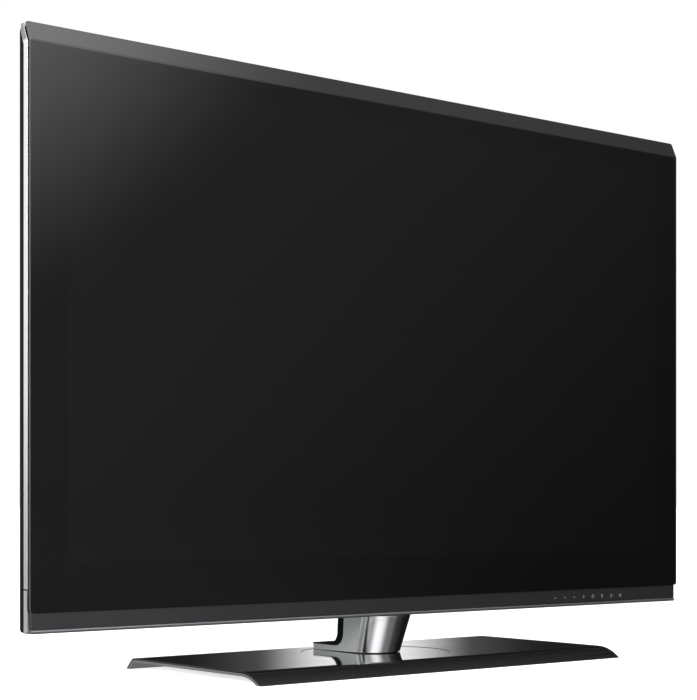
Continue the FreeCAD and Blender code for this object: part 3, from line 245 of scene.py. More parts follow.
def pushed(bm, face, offset):
    """Extrudes a face along an offset and gives the face at its end."""
    made = bmesh.ops.extrude_face_region(bm, geom=[face, *face.edges])["geom"]
    bmesh.ops.translate(bm, verts=corners_of(made), vec=offset)
    return faces_of(made)[0]


def swung(bm, face, centre, axis, angle, steps):
    """Sweeps a face round an axis and gives the face at its end."""
    geometry = [face, *face.edges, *face.verts]
    made = bmesh.ops.spin(bm, geom=geometry, cent=centre, axis=axis, angle=angle, steps=steps)
    return faces_of(made["geom_last"])[0]


def trimmed(bm, point, normal):
    """Cuts away what lies past a plane and closes the cut."""
    cut = bmesh.ops.bisect_plane(
        bm, geom=[*bm.verts, *bm.edges, *bm.faces], plane_co=point, plane_no=normal,
        clear_outer=True,
    )["geom_cut"]
    edges = [item for item in cut if isinstance(item, bmesh.types.BMEdge) and item.is_boundary]
    bmesh.ops.edgeloop_fill(bm, edges=edges)


def sharp_edges(bm, angle=radians(30)):
    return [edge for edge in bm.edges if edge.is_manifold and edge.calc_face_angle() > angle]


def rounded(bm, edges, radius, segments=3):
    bmesh.ops.bevel(
        bm, geom=edges, offset=radius, offset_type="OFFSET", segments=segments, profile=0.5,
        affect="EDGES", material=-1, clamp_overlap=True,
    )


def along(edge, axis):
    """True for an edge that runs along a direction, within 8 degrees."""
    way = edge.verts[1].co - edge.verts[0].co
    return way.length > 0 and abs(way.normalized().dot(Vector(axis))) > 0.99


def solid_copy(node):
    """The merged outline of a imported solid, with its flat faces joined up."""
    bm = bmesh.new()
    bm.from_mesh(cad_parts[node].data)
    bmesh.ops.remove_doubles(bm, verts=bm.verts, dist=TOUCH)
    bmesh.ops.dissolve_limit(bm, angle_limit=radians(1), verts=bm.verts, edges=bm.edges)
    return bm


def carve(bm, cutter):
    """Takes one mesh out of another."""
    meshes = [bpy.data.meshes.new("body"), bpy.data.meshes.new("cutter")]
    objects = []
    for source, mesh in zip((bm, cutter), meshes):
        bmesh.ops.recalc_face_normals(source, faces=source.faces)
        source.to_mesh(mesh)
        holder = bpy.data.objects.new(mesh.name, mesh)
        bpy.context.collection.objects.link(holder)
        objects.append(holder)
    body, tool = objects
    difference = body.modifiers.new("cut", "BOOLEAN")
    difference.object = tool
    difference.operation = "DIFFERENCE"
    difference.solver = "EXACT"
    bpy.context.view_layer.update()
    evaluated = body.evaluated_get(bpy.context.evaluated_depsgraph_get())
    result = bpy.data.meshes.new_from_object(evaluated)
    bm.clear()
    bm.from_mesh(result)
    for holder in objects:
        bpy.data.objects.remove(holder)
    for mesh in (*meshes, result):
        bpy.data.meshes.remove(mesh)
    bmesh.ops.dissolve_limit(bm, angle_limit=radians(0.1), verts=bm.verts, edges=bm.edges)


def piece(bm, name, recipes, nodes, choose=None, body="display"):
    """Makes a mesh a piece: merged, smooth between its sharp edges, riding on its body.
    Where it has two finishes, choose gives the number of each face's."""
    bmesh.ops.remove_doubles(bm, verts=bm.verts, dist=TOUCH)
    bmesh.ops.recalc_face_normals(bm, faces=bm.faces)
    for face in bm.faces:
        face.smooth = True
        if choose:
            face.material_index = choose(face)
    for edge in sharp_edges(bm, angle=radians(35)):
        edge.smooth = False
    mesh = bpy.data.meshes.new(name)
    bm.to_mesh(mesh)
    bm.free()
    for recipe in recipes:
        mesh.materials.append(finish(recipe))
    made = bpy.data.objects.new(name, mesh)
    bpy.context.collection.objects.link(made)
    weights = made.modifiers.new("even_shading", "WEIGHTED_NORMAL")
    weights.keep_sharp = True
    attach(made, body)
    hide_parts(*nodes)


# Finishes

def feed(node, inputs):
    """Gives a node's inputs their values or links."""
    for name, value in inputs.items():
        if isinstance(value, bpy.types.NodeSocket):
            node.id_data.links.new(value, node.inputs[name])
        else:
            node.inputs[name].default_value = value


def add_node(tree, kind, inputs=None, **settings):
    """Adds a node with its settings, and with values or links on its inputs."""
    node = tree.nodes.new(kind)
    for name, value in settings.items():
        setattr(node, name, value)
    feed(node, inputs or {})
    return node


def empty_tree(owner):
    """The cleared node tree of a new material or world."""
    owner.use_nodes = True
    owner.node_tree.nodes.clear()
    return owner.node_tree


def finish(recipe):
    """The material that a recipe paints, named after it, made once and shared."""
    name = recipe.__name__
    if name not in bpy.data.materials:
        tree = empty_tree(bpy.data.materials.new(name))
        shader = add_node(tree, "ShaderNodeBsdfPrincipled")
        add_node(tree, "ShaderNodeOutputMaterial", {"Surface": shader.outputs["BSDF"]})
        recipe(shader)
    return bpy.data.materials[name]


def painted(shader, base, values):
    """Sets a shader's colour and its other values."""
    feed(shader, {"Base Color": (*base, 1), **values})


def looks():
    """The colours of the finishes."""
    return bpy.context.scene.television_finish


def object_place(tree, scale=(1, 1, 1)):
    """Object coordinates in metres, stretched by a scale."""
    place = add_node(tree, "ShaderNodeTexCoord").outputs["Object"]
    return add_node(tree, "ShaderNodeMapping", {"Vector": place, "Scale": scale}).outputs["Vector"]


def grain(shader, size, strength, depth, scale=(1, 1, 1), detail=3.0):
    """A fine relief of this grain size and depth in millimetres."""
    tree = shader.id_data
    noise = add_node(
        tree, "ShaderNodeTexNoise",
        {"Vector": object_place(tree, scale), "Scale": 1 / (size * MM), "Detail": detail,
         "Roughness": 0.55},
    )
    bump = add_node(
        tree, "ShaderNodeBump",
        {"Height": noise.outputs["Fac"], "Strength": strength, "Distance": depth * MM},
    )
    feed(shader, {"Normal": bump.outputs["Normal"]})


def varied(shader, size, low, high, scale=(1, 1, 1)):
    """Lets the roughness wander between two values over patches of this size in millimetres.
    Noise keeps mostly to its middle part, so that part spreads over the two."""
    tree = shader.id_data
    noise = add_node(
        tree, "ShaderNodeTexNoise",
        {"Vector": object_place(tree, scale), "Scale": 1 / (size * MM), "Detail": 2.0},
    )
    spread = add_node(
        tree, "ShaderNodeMapRange",
        {"Value": noise.outputs["Fac"], "From Min": 0.3, "From Max": 0.7,
         "To Min": low, "To Max": high},
    )
    feed(shader, {"Roughness": spread.outputs["Result"]})


def tinted(shader, size, first, second):
    """Lets the colour wander between two near shades over patches of this size in millimetres."""
    tree = shader.id_data
    noise = add_node(
        tree, "ShaderNodeTexNoise",
        {"Vector": object_place(tree), "Scale": 1 / (size * MM), "Detail": 3.0},
    )
    mix = add_node(
        tree, "ShaderNodeMix",
        {"Factor": noise.outputs["Fac"], "A": (*first, 1), "B": (*second, 1)}, data_type="RGBA",
    )
    feed(shader, {"Base Color": mix.outputs["Result"]})


def shade(base, factor):
    return [min(1, level * factor) for level in base]


def printed_acrylic(shader):
    """Clear acrylic sheet printed black behind: a deep black under a hard, flat gloss.
    The switched-off picture is a shade lighter than the print round it."""
    look = looks()
    sizes = bpy.context.scene.television_panel
    painted(shader, look.sheet, {"Roughness": 0.03, "IOR": 1.49})
    tree = shader.id_data
    picture_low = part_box("front_sheet")[0].z + sizes.picture_rise
    place = add_node(tree, "ShaderNodeSeparateXYZ", {"Vector": object_place(tree)})
    within = []
    for axis, middle, size in (
        ("X", 0.0, sizes.picture_width),
        ("Z", picture_low + sizes.picture_height / 2, sizes.picture_height),
    ):
        offset = add_node(
            tree, "ShaderNodeMath", {0: place.outputs[axis], 1: middle}, operation="SUBTRACT",
        )
        away = add_node(tree, "ShaderNodeMath", {0: offset.outputs[0]}, operation="ABSOLUTE")
        within.append(add_node(
            tree, "ShaderNodeMath", {0: away.outputs[0], 1: size / 2}, operation="LESS_THAN",
        ).outputs[0])
    inside = add_node(tree, "ShaderNodeMath", dict(enumerate(within)), operation="MULTIPLY")
    mix = add_node(
        tree, "ShaderNodeMix",
        {"Factor": inside.outputs[0], "A": (*look.sheet, 1), "B": (*look.picture, 1)},
        data_type="RGBA",
    )
    feed(shader, {"Base Color": mix.outputs["Result"]})


def cut_acrylic(shader):
    """Sawn and polished edge of the acrylic sheet: dark grey and a little hazy."""
    painted(shader, looks().sheet_edge, {"Roughness": 0.3, "IOR": 1.49, "Specular IOR Level": 0.3})
    grain(shader, size=0.6, strength=0.1, depth=0.01)


def satin_moulding(shader):
    """Injection-moulded ABS with a satin skin: dark grey with a broad soft sheen."""
    painted(shader, looks().bar, {"Roughness": 0.34, "IOR": 1.54, "Specular IOR Level": 0.12})
    grain(shader, size=0.5, strength=0.12, depth=0.01)
    varied(shader, size=60, low=0.31, high=0.37)


def anodised_aluminium_painted_shade(shader):
    """Extruded aluminium, brushed along its length and anodised: pale silver with a drawn-out
    sheen, and painted shade past the bend at its top: a darker grey for the turned top.
    Real brush lines are finer than shows here, so they are drawn 0.3 mm apart."""
    look = looks()
    painted(shader, look.aluminium, {"Metallic": 1.0, "Roughness": 0.28})
    tree = shader.id_data
    upright = (1, 1, 0.02)
    grain(shader, size=0.3, strength=0.12, depth=0.01, scale=upright)
    varied(shader, size=12, low=0.25, high=0.31, scale=upright)
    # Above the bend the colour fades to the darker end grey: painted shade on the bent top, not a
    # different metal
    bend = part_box("front_sheet")[1].z - bpy.context.scene.television_panel.strip_height
    fade = 3 * MM
    place = add_node(tree, "ShaderNodeSeparateXYZ", {"Vector": object_place(tree)})
    bent = add_node(
        tree, "ShaderNodeMapRange",
        {"Value": place.outputs["Z"], "From Min": bend, "From Max": bend + fade},
    )
    mix = add_node(
        tree, "ShaderNodeMix",
        {"Factor": bent.outputs["Result"], "A": (*look.aluminium, 1), "B": (*look.trim_end_painted_shade, 1)},
        data_type="RGBA",
    )
    feed(shader, {"Base Color": mix.outputs["Result"]})


def silver_lacquer(shader):
    """Silver lacquer over moulded plastic: mid grey, metal flake under a satin clear coat."""
    painted(
        shader, looks().lip,
        {"Metallic": 0.85, "Roughness": 0.34, "Coat Weight": 0.2, "Coat Roughness": 0.2},
    )
    grain(shader, size=0.25, strength=0.12, depth=0.01)


def base_lacquer(shader):
    """Silver lacquer on the edge of the base's shell: paler and a little smoother."""
    painted(shader, looks().base_edge, {"Metallic": 0.9, "Roughness": 0.28})
    grain(shader, size=0.25, strength=0.1, depth=0.01)


def bright_chrome(shader):
    """Chromium plating on a finely blasted die casting: bright, with soft-edged reflections."""
    painted(shader, looks().chrome, {"Metallic": 1.0, "Roughness": 0.16})
    varied(shader, size=18, low=0.14, high=0.18)


def satin_metal(shader):
    """Satin-painted metal of the neck's flat sides: even mid grey with a soft sheen."""
    painted(shader, looks().neck_side, {"Metallic": 0.85, "Roughness": 0.36})
    grain(shader, size=0.3, strength=0.1, depth=0.01)
    varied(shader, size=25, low=0.33, high=0.4)


def textured_abs_painted_fill(shader):
    """Spark-textured black ABS of the rear: matt, with an even grain of half a millimetre, and
    painted fill light: a lighter grey than the smooth rim stands in for light on the rear.
    """
    look = looks()
    painted(shader, look.rear, {"Roughness": 0.5, "IOR": 1.54})
    grain(shader, size=0.5, strength=0.35, depth=0.05, detail=5.0)
    tinted(shader, 40, shade(look.rear, 0.85), shade(look.rear, 1.15))


def plain_abs(shader):
    """Smooth black ABS of the rear housing's rim and the neck's rear: deep black and soft."""
    painted(shader, looks().housing, {"Roughness": 0.6, "IOR": 1.54, "Specular IOR Level": 0.03})
    grain(shader, size=0.5, strength=0.15, depth=0.02)


def piano_lacquer(shader):
    """Black acrylic skin polished like piano lacquer: near black with a mirror gloss."""
    painted(shader, looks().piano, {"Roughness": 0.06, "IOR": 1.49})
    varied(shader, size=70, low=0.05, high=0.075)


def printing_ink(shader):
    """Screen-printed grey ink: flat and matt."""
    look = looks()
    painted(shader, look.mark, {"Roughness": 0.6, "IOR": 1.5})
    tinted(shader, 0.4, shade(look.mark, 0.85), look.mark)


def zinc_steel(shader):
    """Zinc-plated pressed steel: cool grey with a faint crystalline mottle."""
    painted(shader, linear("#A7AAAD"), {"Metallic": 1.0, "Roughness": 0.38})
    varied(shader, size=6, low=0.32, high=0.46)


def die_cast_alloy(shader):
    """Sand-coloured die-cast alloy: dull, with a pitted skin."""
    painted(shader, linear("#8F8F8C"), {"Metallic": 1.0, "Roughness": 0.5})
    grain(shader, size=0.8, strength=0.35, depth=0.08)


def turned_brass(shader):
    """Turned brass: yellow metal with fine lathe rings."""
    painted(shader, linear("#C7A45A"), {"Metallic": 1.0, "Roughness": 0.26})
    grain(shader, size=0.3, strength=0.15, depth=0.01, scale=(1, 8, 1))


def tinned_steel(shader):
    """Bright tin plating on a thin steel shell: pale silver, a little uneven."""
    painted(shader, linear("#C9CBCC"), {"Metallic": 1.0, "Roughness": 0.22})
    varied(shader, size=4, low=0.18, high=0.28)


def solder_mask(shader):
    """Glass-fibre board under green solder mask: semi-gloss, with pale and dark tracks.
    There are twelve rows of tracks in 25 mm, and a row is a quarter of the pattern's unit."""
    mask = linear("#1F5A35")
    painted(shader, mask, {"Roughness": 0.35, "IOR": 1.5})
    tree = shader.id_data
    row = 0.25
    tracks = add_node(
        tree, "ShaderNodeTexBrick",
        {"Vector": object_place(tree), "Scale": row * 12 / (25 * MM), "Row Height": row,
         "Color1": (*mask, 1), "Color2": (*linear("#245F3B"), 1),
         "Mortar": (*linear("#2F7A4A"), 1), "Mortar Size": 0.03},
    )
    feed(shader, {"Base Color": tracks.outputs["Color"]})


def plain_finish(shader, code, roughness, size, depth):
    """A moulded or pressed part in one colour with its own fine grain."""
    base = linear(code)
    painted(shader, base, {"Roughness": roughness, "IOR": 1.5})
    grain(shader, size, strength=0.3, depth=depth)
    tinted(shader, 30, shade(base, 0.9), shade(base, 1.1))


def moulded_rubber(shader):
    """Moulded black rubber: dull and slightly grainy."""
    plain_finish(shader, "#1B1B1B", roughness=0.8, size=0.7, depth=0.05)


def white_acetal(shader):
    """Machined white acetal: smooth and waxy."""
    plain_finish(shader, "#E2E0D8", roughness=0.4, size=1.0, depth=0.01)


def bright_film(shader):
    """White plastic film: smooth, matt and bright."""
    plain_finish(shader, "#E9E9E8", roughness=0.6, size=2.0, depth=0.005)


def pressed_paper(shader):
    """Pressed and dyed paper pulp: matt black with visible fibre."""
    plain_finish(shader, "#222222", roughness=0.9, size=0.6, depth=0.08)


def sintered_ferrite(shader):
    """Sintered ferrite: charcoal grey and gritty."""
    plain_finish(shader, "#33312F", roughness=0.7, size=0.4, depth=0.06)


def polarised_glass(shader):
    """The dark face of the liquid crystal cell: smooth glass over its polariser."""
    painted(shader, linear("#0D0D0F"), {"Roughness": 0.1, "IOR": 1.52})
    varied(shader, size=80, low=0.08, high=0.12)


def dotted_acrylic(shader):
    """Clear acrylic light guide with its printed dots: pale and glassy."""
    painted(
        shader, linear("#DDE4E3"), {"Roughness": 0.08, "IOR": 1.49, "Transmission Weight": 0.6},
    )
    grain(shader, size=1.5, strength=0.2, depth=0.02)


# Which finish each carried-over solid takes
CARRIED = {
    zinc_steel: (
        "base_steel_plate", "base_screws", "board_screws", "lock_nut", "module_back_pan",
        "module_front_case", "neck_foot_screws", "neck_panel_screws", "pivot_bolt",
        "rear_cover_screws", "spring_washer", "stand_bracket", "swivel_plate", "swivel_stop_pin",
        "wall_mount_rails",
    ),
    tinned_steel: ("aerial_socket", "media_sockets", "picture_sockets"),
    turned_brass: ("board_standoffs", "wall_mount_posts"),
    solder_mask: ("led_strips", "main_board", "power_board", "timing_board", "touch_key_board"),
    textured_abs_painted_fill: (
        "lower_jack_plate", "side_jack_plate", "mains_inlet", "network_socket", "speaker_boxes",
    ),
    moulded_rubber: ("rubber_feet", "speaker_surrounds", "sheet_gasket"),
    white_acetal: ("slip_ring", "swivel_bush"),
    bright_film: ("diffuser_sheet", "prism_sheet", "reflector_sheet"),
    pressed_paper: ("speaker_cone_left", "speaker_cone_right"),
    sintered_ferrite: ("speaker_magnets",),
    die_cast_alloy: ("neck_core",),
    polarised_glass: ("lcd_cell",),
    dotted_acrylic: ("light_guide",),
}


class PieceOperator:
    """Shared shell of the operators that add a piece."""
    bl_options = {"REGISTER", "UNDO"}

    def execute(self, context):
        self.build(context.scene)
        return {"FINISHED"}


def bent_strip(bm, sizes, radius, low, high, back):
    """A strip that rises straight from its lower corner, then bends back as the sheet does."""
    sheet_low, sheet_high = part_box("front_sheet")
    lean = atan2(sizes.strip_back, sizes.strip_height)
    bend_start = sheet_high.z - sizes.strip_height - radius * tan(lean / 2)
    centre = (0, sheet_low.y + radius, bend_start)
    face = flat(bm, low, (high.x, back, low.z))
    face = pushed(bm, face, (0, 0, bend_start - low.z))
    face = swung(bm, face, centre, (-1, 0, 0), lean, sizes.bend_steps)
    pushed(bm, face, Vector((0, sin(lean), cos(lean))) * OVERSHOOT * sizes.strip_height)
    trimmed(bm, (0, 0, high.z), UP)


class TELEVISION_OT_front_sheet(PieceOperator, bpy.types.Operator):
    """Adds the clear front sheet with its bent-back top strip"""
    bl_idname = "television.front_sheet"
    bl_label = "Front Sheet"

    def build(self, scene):
        sizes = scene.television_panel
        low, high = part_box("front_sheet")
        bm = bmesh.new()
        bent_strip(bm, sizes, sizes.sheet_bend, low, high, low.y + sizes.sheet_thickness)
        middle = (low.z + high.z) / 2
        for above, radius in ((False, sizes.bottom_corner), (True, sizes.top_corner)):
            corners = [
                edge for edge in sharp_edges(bm)
                if along(edge, (0, 1, 0)) and (edge.verts[0].co.z > middle) == above
            ]
            rounded(bm, corners, radius, segments=6)
        rounded(bm, sharp_edges(bm), sizes.polish, segments=2)

        upward = cos(radians(70))
        piece(
            bm, "front_sheet_piece", [printed_acrylic, cut_acrylic],
            ["front_sheet"],
            lambda face: int(abs(face.normal.y) < FACING and face.normal.z < upward),
        )


class TELEVISION_OT_lower_bar(PieceOperator, bpy.types.Operator):
    """Adds the satin bar below the sheet and the rounded lip under it"""
    bl_idname = "television.lower_bar"
    bl_label = "Lower Bar"

    def build(self, scene):
        sizes = scene.television_panel
        low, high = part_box("lower_bar")
        bm = block(low, high)
        rear = max(bm.faces, key=lambda face: face.calc_center_median().y)
        bmesh.ops.inset_region(bm, faces=[rear], thickness=sizes.bar_wall)
        pushed(bm, rear, (0, low.y - high.y + sizes.bar_wall, 0))
        rounded(bm, sharp_edges(bm), sizes.moulding_round)
        piece(bm, "lower_bar_piece", [satin_moulding], ["lower_bar"])

        low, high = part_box("bottom_lip")
        bm = block(low, high)
        middle = (low.y + high.y) / 2
        front = [
            edge for edge in bm.edges if along(edge, (1, 0, 0)) and edge.verts[0].co.y < middle
        ]
        rounded(bm, front, sizes.lip_round, segments=8)
        rounded(bm, sharp_edges(bm), sizes.moulding_round / 2)
        piece(bm, "bottom_lip_piece", [silver_lacquer], ["bottom_lip"])


class TELEVISION_OT_trims(PieceOperator, bpy.types.Operator):
    """Adds the metal trims down both sides and the short ones below them"""
    bl_idname = "television.trims"
    bl_label = "Side Trims"

    def build(self, scene):
        sizes = scene.television_panel
        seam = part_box("bottom_lip")[1].y
        for side in ("left", "right"):
            node = f"side_trim_{side}"
            low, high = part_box(node)
            bm = bmesh.new()
            low.y -= sizes.trim_reach
            low.z += sizes.trim_seam
            bent_strip(bm, sizes, sizes.bend_radius, low, high, seam)
            trimmed(bm, (0, high.y, 0), (0, 1, 0))
            top = [
                edge for edge in sharp_edges(bm)
                if along(edge, (1, 0, 0)) and edge.verts[0].co.z > high.z - MM
            ]
            rounded(bm, top, sizes.trim_top_round, segments=6)
            self.add_trim(bm, sizes, node)

            node = f"lower_trim_{side}"
            self.add_trim(solid_copy(node), sizes, node)

    def add_trim(self, bm, sizes, node):
        rounded(bm, sharp_edges(bm), sizes.trim_round)
        piece(bm, f"{node}_piece", [anodised_aluminium_painted_shade], [node])


class TELEVISION_OT_rear_housing(PieceOperator, bpy.types.Operator):
    """Adds the moulded rear cover and the frame between it and the sheet"""
    bl_idname = "television.rear_housing"
    bl_label = "Rear Housing"

    def build(self, scene):
        sizes = scene.television_panel
        for node in ("rear_cover", "middle_frame"):
            bm = solid_copy(node)
            outline = [
                edge for edge in sharp_edges(bm) if edge.calc_length() > sizes.cover_long_edge
            ]
            rounded(bm, outline, sizes.cover_round)
            # Faces turned to the rear take the lighter textured finish: real texture, and painted
            # fill light in its lighter grey
            piece(
                bm, f"{node}_piece", [plain_abs, textured_abs_painted_fill], [node],
                lambda face: int(face.normal.y > FACING),
            )


class TELEVISION_OT_touch_marks(PieceOperator, bpy.types.Operator):
    """Adds the row of touch symbols printed on the lower bar"""
    bl_idname = "television.touch_marks"
    bl_label = "Touch Marks"

    def build(self, scene):
        sizes = scene.television_marks
        bar_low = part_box("lower_bar")[0]
        half = sizes.size / 2
        dot = sizes.stroke / 2
        outer = half * 0.8
        barb = half / 3
        stem = half * 1.1
        chevron = ((-half, half / 2), (0, -half / 2), (half, half / 2))
        level = ((-half, 0), (half, 0))
        # Bearing and gap of the opening in the ring round a symbol
        closed = (0, 0)
        open_left = (-QUARTER_TURN, QUARTER_TURN)
        open_above = (0, radians(70))
        # Each symbol's ring, and its lines from place to place, across and up from its middle:
        # chevrons down and up, minus, plus, ring and dot, three lines, arrow in and power
        symbols = (
            (None, chevron),
            (None, [(across, -up) for across, up in chevron]),
            (None, level),
            (None, level, ((0, -half), (0, half))),
            (closed, ((-dot, 0), (dot, 0))),
            (None, *(((-half, up), (half, up)) for up in (-outer, 0, outer))),
            (open_left, ((-half, 0), (0, 0)), ((-barb, barb), (0, 0)), ((-barb, -barb), (0, 0))),
            (open_above, ((0, 0), (0, stem))),
        )
        bm = bmesh.new()
        for order, (opening, *lines) in enumerate(symbols):
            across = sizes.first + order * sizes.pitch
            middle = Vector((across, bar_low.y, bar_low.z + sizes.rise))
            if opening:
                self.ring(bm, sizes, middle, half, *opening)
            for places in lines:
                for start, end in zip(places, places[1:]):
                    self.stroke(bm, sizes, middle, start, end)
        piece(bm, "touch_marks", [printing_ink], [])

    def stroke(self, bm, sizes, middle, start, end):
        """A straight line of ink between two places, given across and up from the middle."""
        start = middle + Vector((start[0], 0, start[1]))
        end = middle + Vector((end[0], 0, end[1]))
        way = end - start
        turned = Matrix.Rotation(-atan2(way.z, way.x), 4, "Y")
        place = Matrix.Translation((start + end) / 2 - Vector((0, sizes.proud / 2, 0))) @ turned
        shape = Matrix.Diagonal((way.length, sizes.proud, sizes.stroke, 1))
        bmesh.ops.create_cube(bm, size=1.0, matrix=place @ shape)

    def ring(self, bm, sizes, middle, radius, bearing, gap):
        """A ring of ink round the middle, open by a gap at a bearing clockwise from the top."""
        low = middle + Vector((radius - sizes.stroke / 2, -sizes.proud, 0))
        high = middle + Vector((radius + sizes.stroke / 2, 0, 0))
        face = flat(bm, low, high)
        turn_to_start = Matrix.Rotation(bearing + gap / 2 - QUARTER_TURN, 4, "Y")
        bmesh.ops.rotate(bm, verts=face.verts, cent=middle, matrix=turn_to_start)
        whole = gap == 0
        geometry = [face, *face.edges, *face.verts]
        bmesh.ops.spin(
            bm, geom=geometry, cent=middle, axis=(0, 1, 0), angle=FULL_TURN - gap, steps=24,
            use_merge=whole,
        )
        if whole:
            inner = [
                face for face in bm.faces if all(len(edge.link_faces) > 2 for edge in face.edges)
            ]
            bmesh.ops.delete(bm, geom=inner, context="FACES_ONLY")


class TELEVISION_OT_base(PieceOperator, bpy.types.Operator):
    """Adds the base's lacquered skin and the silver shell under it"""
    bl_idname = "television.base"
    bl_label = "Base"

    def build(self, scene):
        sizes = scene.television_stand
        shell_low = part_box("base_steel_plate")[1].z
        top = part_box("base_cover")[1].z
        shell_depth = top - shell_low
        for node, upper, lower, recipe, slot in (
            ("base_cover", 0, sizes.skin, piano_lacquer, "gloss_black"),
            ("base_shell", sizes.skin, shell_depth, base_lacquer, "silver_paint"),
        ):
            bm = bmesh.new()
            self.bent_slab(bm, sizes, upper, lower)
            cutter = bmesh.new()
            low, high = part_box("turntable_disc")
            pivot = (low + high) / 2
            radius = high.x + sizes.disc_gap
            bmesh.ops.create_cone(
                cutter, cap_ends=True, segments=sizes.disc_sides, depth=2 * OVERSHOOT * top,
                radius1=radius, radius2=radius, matrix=Matrix.Translation((pivot.x, pivot.y, 0)),
            )
            carve(bm, cutter)
            cutter.free()
            rounded(bm, sharp_edges(bm), sizes.edge)
            piece(bm, f"{node}_piece", [recipe], [node], body="base")

    def bent_slab(self, bm, sizes, upper, lower):
        """The arched slab between two depths below the base's outer surface."""
        low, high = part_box("base_cover")
        ends = []
        for side, radius, angle in (
            (-1, sizes.front_radius, sizes.front_angle),
            (1, sizes.rear_radius, sizes.rear_angle),
        ):
            drop = high.z - low.z - radius * (1 - cos(angle))
            run = radius * sin(angle) + drop / tan(angle)
            ends.append((side, radius, angle, side * (high.y - run)))
        front_y, rear_y = (end[3] for end in ends)
        front = flat(bm, (low.x, front_y, high.z - lower), (high.x, front_y, high.z - upper))
        rear = pushed(bm, front, (0, rear_y - front_y, 0))
        front = min(bm.faces, key=lambda face: face.calc_center_median().y)
        for face, (side, radius, angle, end) in zip((front, rear), ends):
            centre = (0, end, high.z - radius)
            face = swung(bm, face, centre, (-side, 0, 0), angle, sizes.bend_steps)
            slope = Vector((0, side * cos(angle), -sin(angle)))
            pushed(bm, face, slope * OVERSHOOT * radius)
        trimmed(bm, (0, 0, low.z), -UP)


class TELEVISION_OT_turntable(PieceOperator, bpy.types.Operator):
    """Adds the turntable's round cover plate"""
    bl_idname = "television.turntable"
    bl_label = "Turntable"

    def build(self, scene):
        sizes = scene.television_stand
        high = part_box("turntable_disc")[1]
        radius = high.x
        pivot_y = high.y - radius
        rim_start = 0.95 * radius
        bm = solid_copy("turntable_disc")
        rim = [
            edge for edge in sharp_edges(bm)
            if min(vert.co.z for vert in edge.verts) > high.z - sizes.edge
            and hypot(edge.verts[0].co.x, edge.verts[0].co.y - pivot_y) > rim_start
        ]
        rounded(bm, rim, sizes.edge)
        piece(bm, "turntable_disc_piece", [piano_lacquer], ["turntable_disc"])


class TELEVISION_OT_neck(PieceOperator, bpy.types.Operator):
    """Adds the neck's plated front, its painted sides and its black back"""
    bl_idname = "television.neck"
    bl_label = "Neck"

    def build(self, scene):
        sizes = scene.television_stand
        self.plated_front(sizes)
        self.painted_side(sizes, "neck_side_left", -1)
        self.painted_side(sizes, "neck_side_right", 1)
        bm = solid_copy("neck_rear_cover")
        rounded(bm, sharp_edges(bm), sizes.neck_edge)
        piece(bm, "neck_rear_cover_piece", [plain_abs], ["neck_rear_cover"])

    def painted_side(self, sizes, node, outward):
        """A flat side with a black return along its rear outline. Its front end is clear of
        the turntable."""
        low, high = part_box(node)
        bm = solid_copy(node)
        for vert in bm.verts:
            if vert.co.z < low.z + sizes.foot_shadow and vert.co.y < (low.y + high.y) / 2:
                vert.co.z += sizes.foot_shadow
        outer = max(bm.faces, key=lambda face: outward * face.normal.x * face.calc_area())
        ring = bmesh.ops.inset_region(bm, faces=[outer], thickness=sizes.paint_line)["faces"]
        rear = [
            vert for vert in outer.verts
            if low.y + 2 * sizes.rear_return < vert.co.y < high.y - sizes.rear_return
            and vert.co.z > low.z + sizes.rear_return
        ]
        bmesh.ops.translate(bm, verts=rear, vec=(0, -sizes.rear_return, 0))
        for face in ring:
            if any(vert in rear for vert in face.verts):
                face.material_index = 1
        rounded(bm, sharp_edges(bm), sizes.neck_edge)
        piece(bm, f"{node}_piece", [satin_metal, plain_abs], [node])

    def plated_front(self, sizes):
        """A half-elliptic shell that widens and leans forward as it rises."""
        low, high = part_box("neck_front_cover")
        rings = (
            (
                low.z + sizes.foot_shadow, sizes.half_width_low, sizes.front_depth_low,
                high.y - sizes.seam_gap,
            ),
            (high.z, high.x, sizes.front_depth_high, low.y + sizes.front_depth_high),
        )
        bm = bmesh.new()
        loops = []
        for level, half_width, depth, centre in rings:
            stretch = Matrix.Diagonal((half_width, depth, 1, 1))
            made = bmesh.ops.create_circle(
                bm, segments=2 * sizes.neck_sides, radius=1.0,
                matrix=Matrix.Translation((0, centre, level)) @ stretch,
            )["verts"]
            behind = [vert for vert in made if vert.co.y > centre + TOUCH]
            kept = [vert for vert in made if vert not in behind]
            loops += {
                edge for vert in kept for edge in vert.link_edges
                if edge.other_vert(vert) in kept
            }
            bmesh.ops.delete(bm, geom=behind, context="VERTS")
        loops = [edge for edge in loops if edge.is_valid]
        bmesh.ops.bridge_loops(bm, edges=loops)
        upright = [
            edge for edge in bm.edges if abs(edge.verts[0].co.z - edge.verts[1].co.z) > MM
        ]
        bmesh.ops.subdivide_edges(bm, edges=upright, cuts=6, use_grid_fill=True)
        bmesh.ops.recalc_face_normals(bm, faces=bm.faces)
        if sum(face.normal.y for face in bm.faces) > 0:
            bmesh.ops.reverse_faces(bm, faces=bm.faces)
        bmesh.ops.solidify(bm, geom=bm.faces, thickness=sizes.neck_wall)
        rounded(bm, sharp_edges(bm, angle=radians(60)), sizes.neck_edge)
        piece(bm, "neck_front_piece", [bright_chrome], ["neck_front_cover"])


class TELEVISION_OT_carried_solids(PieceOperator, bpy.types.Operator):
    """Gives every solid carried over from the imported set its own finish"""
    bl_idname = "television.carried_solids"
    bl_label = "Carried Solids"

    def build(self, scene):
        for recipe, nodes in CARRIED.items():
            for node in nodes:
                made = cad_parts[node]
                made.data.materials.clear()
                made.data.materials.append(finish(recipe))


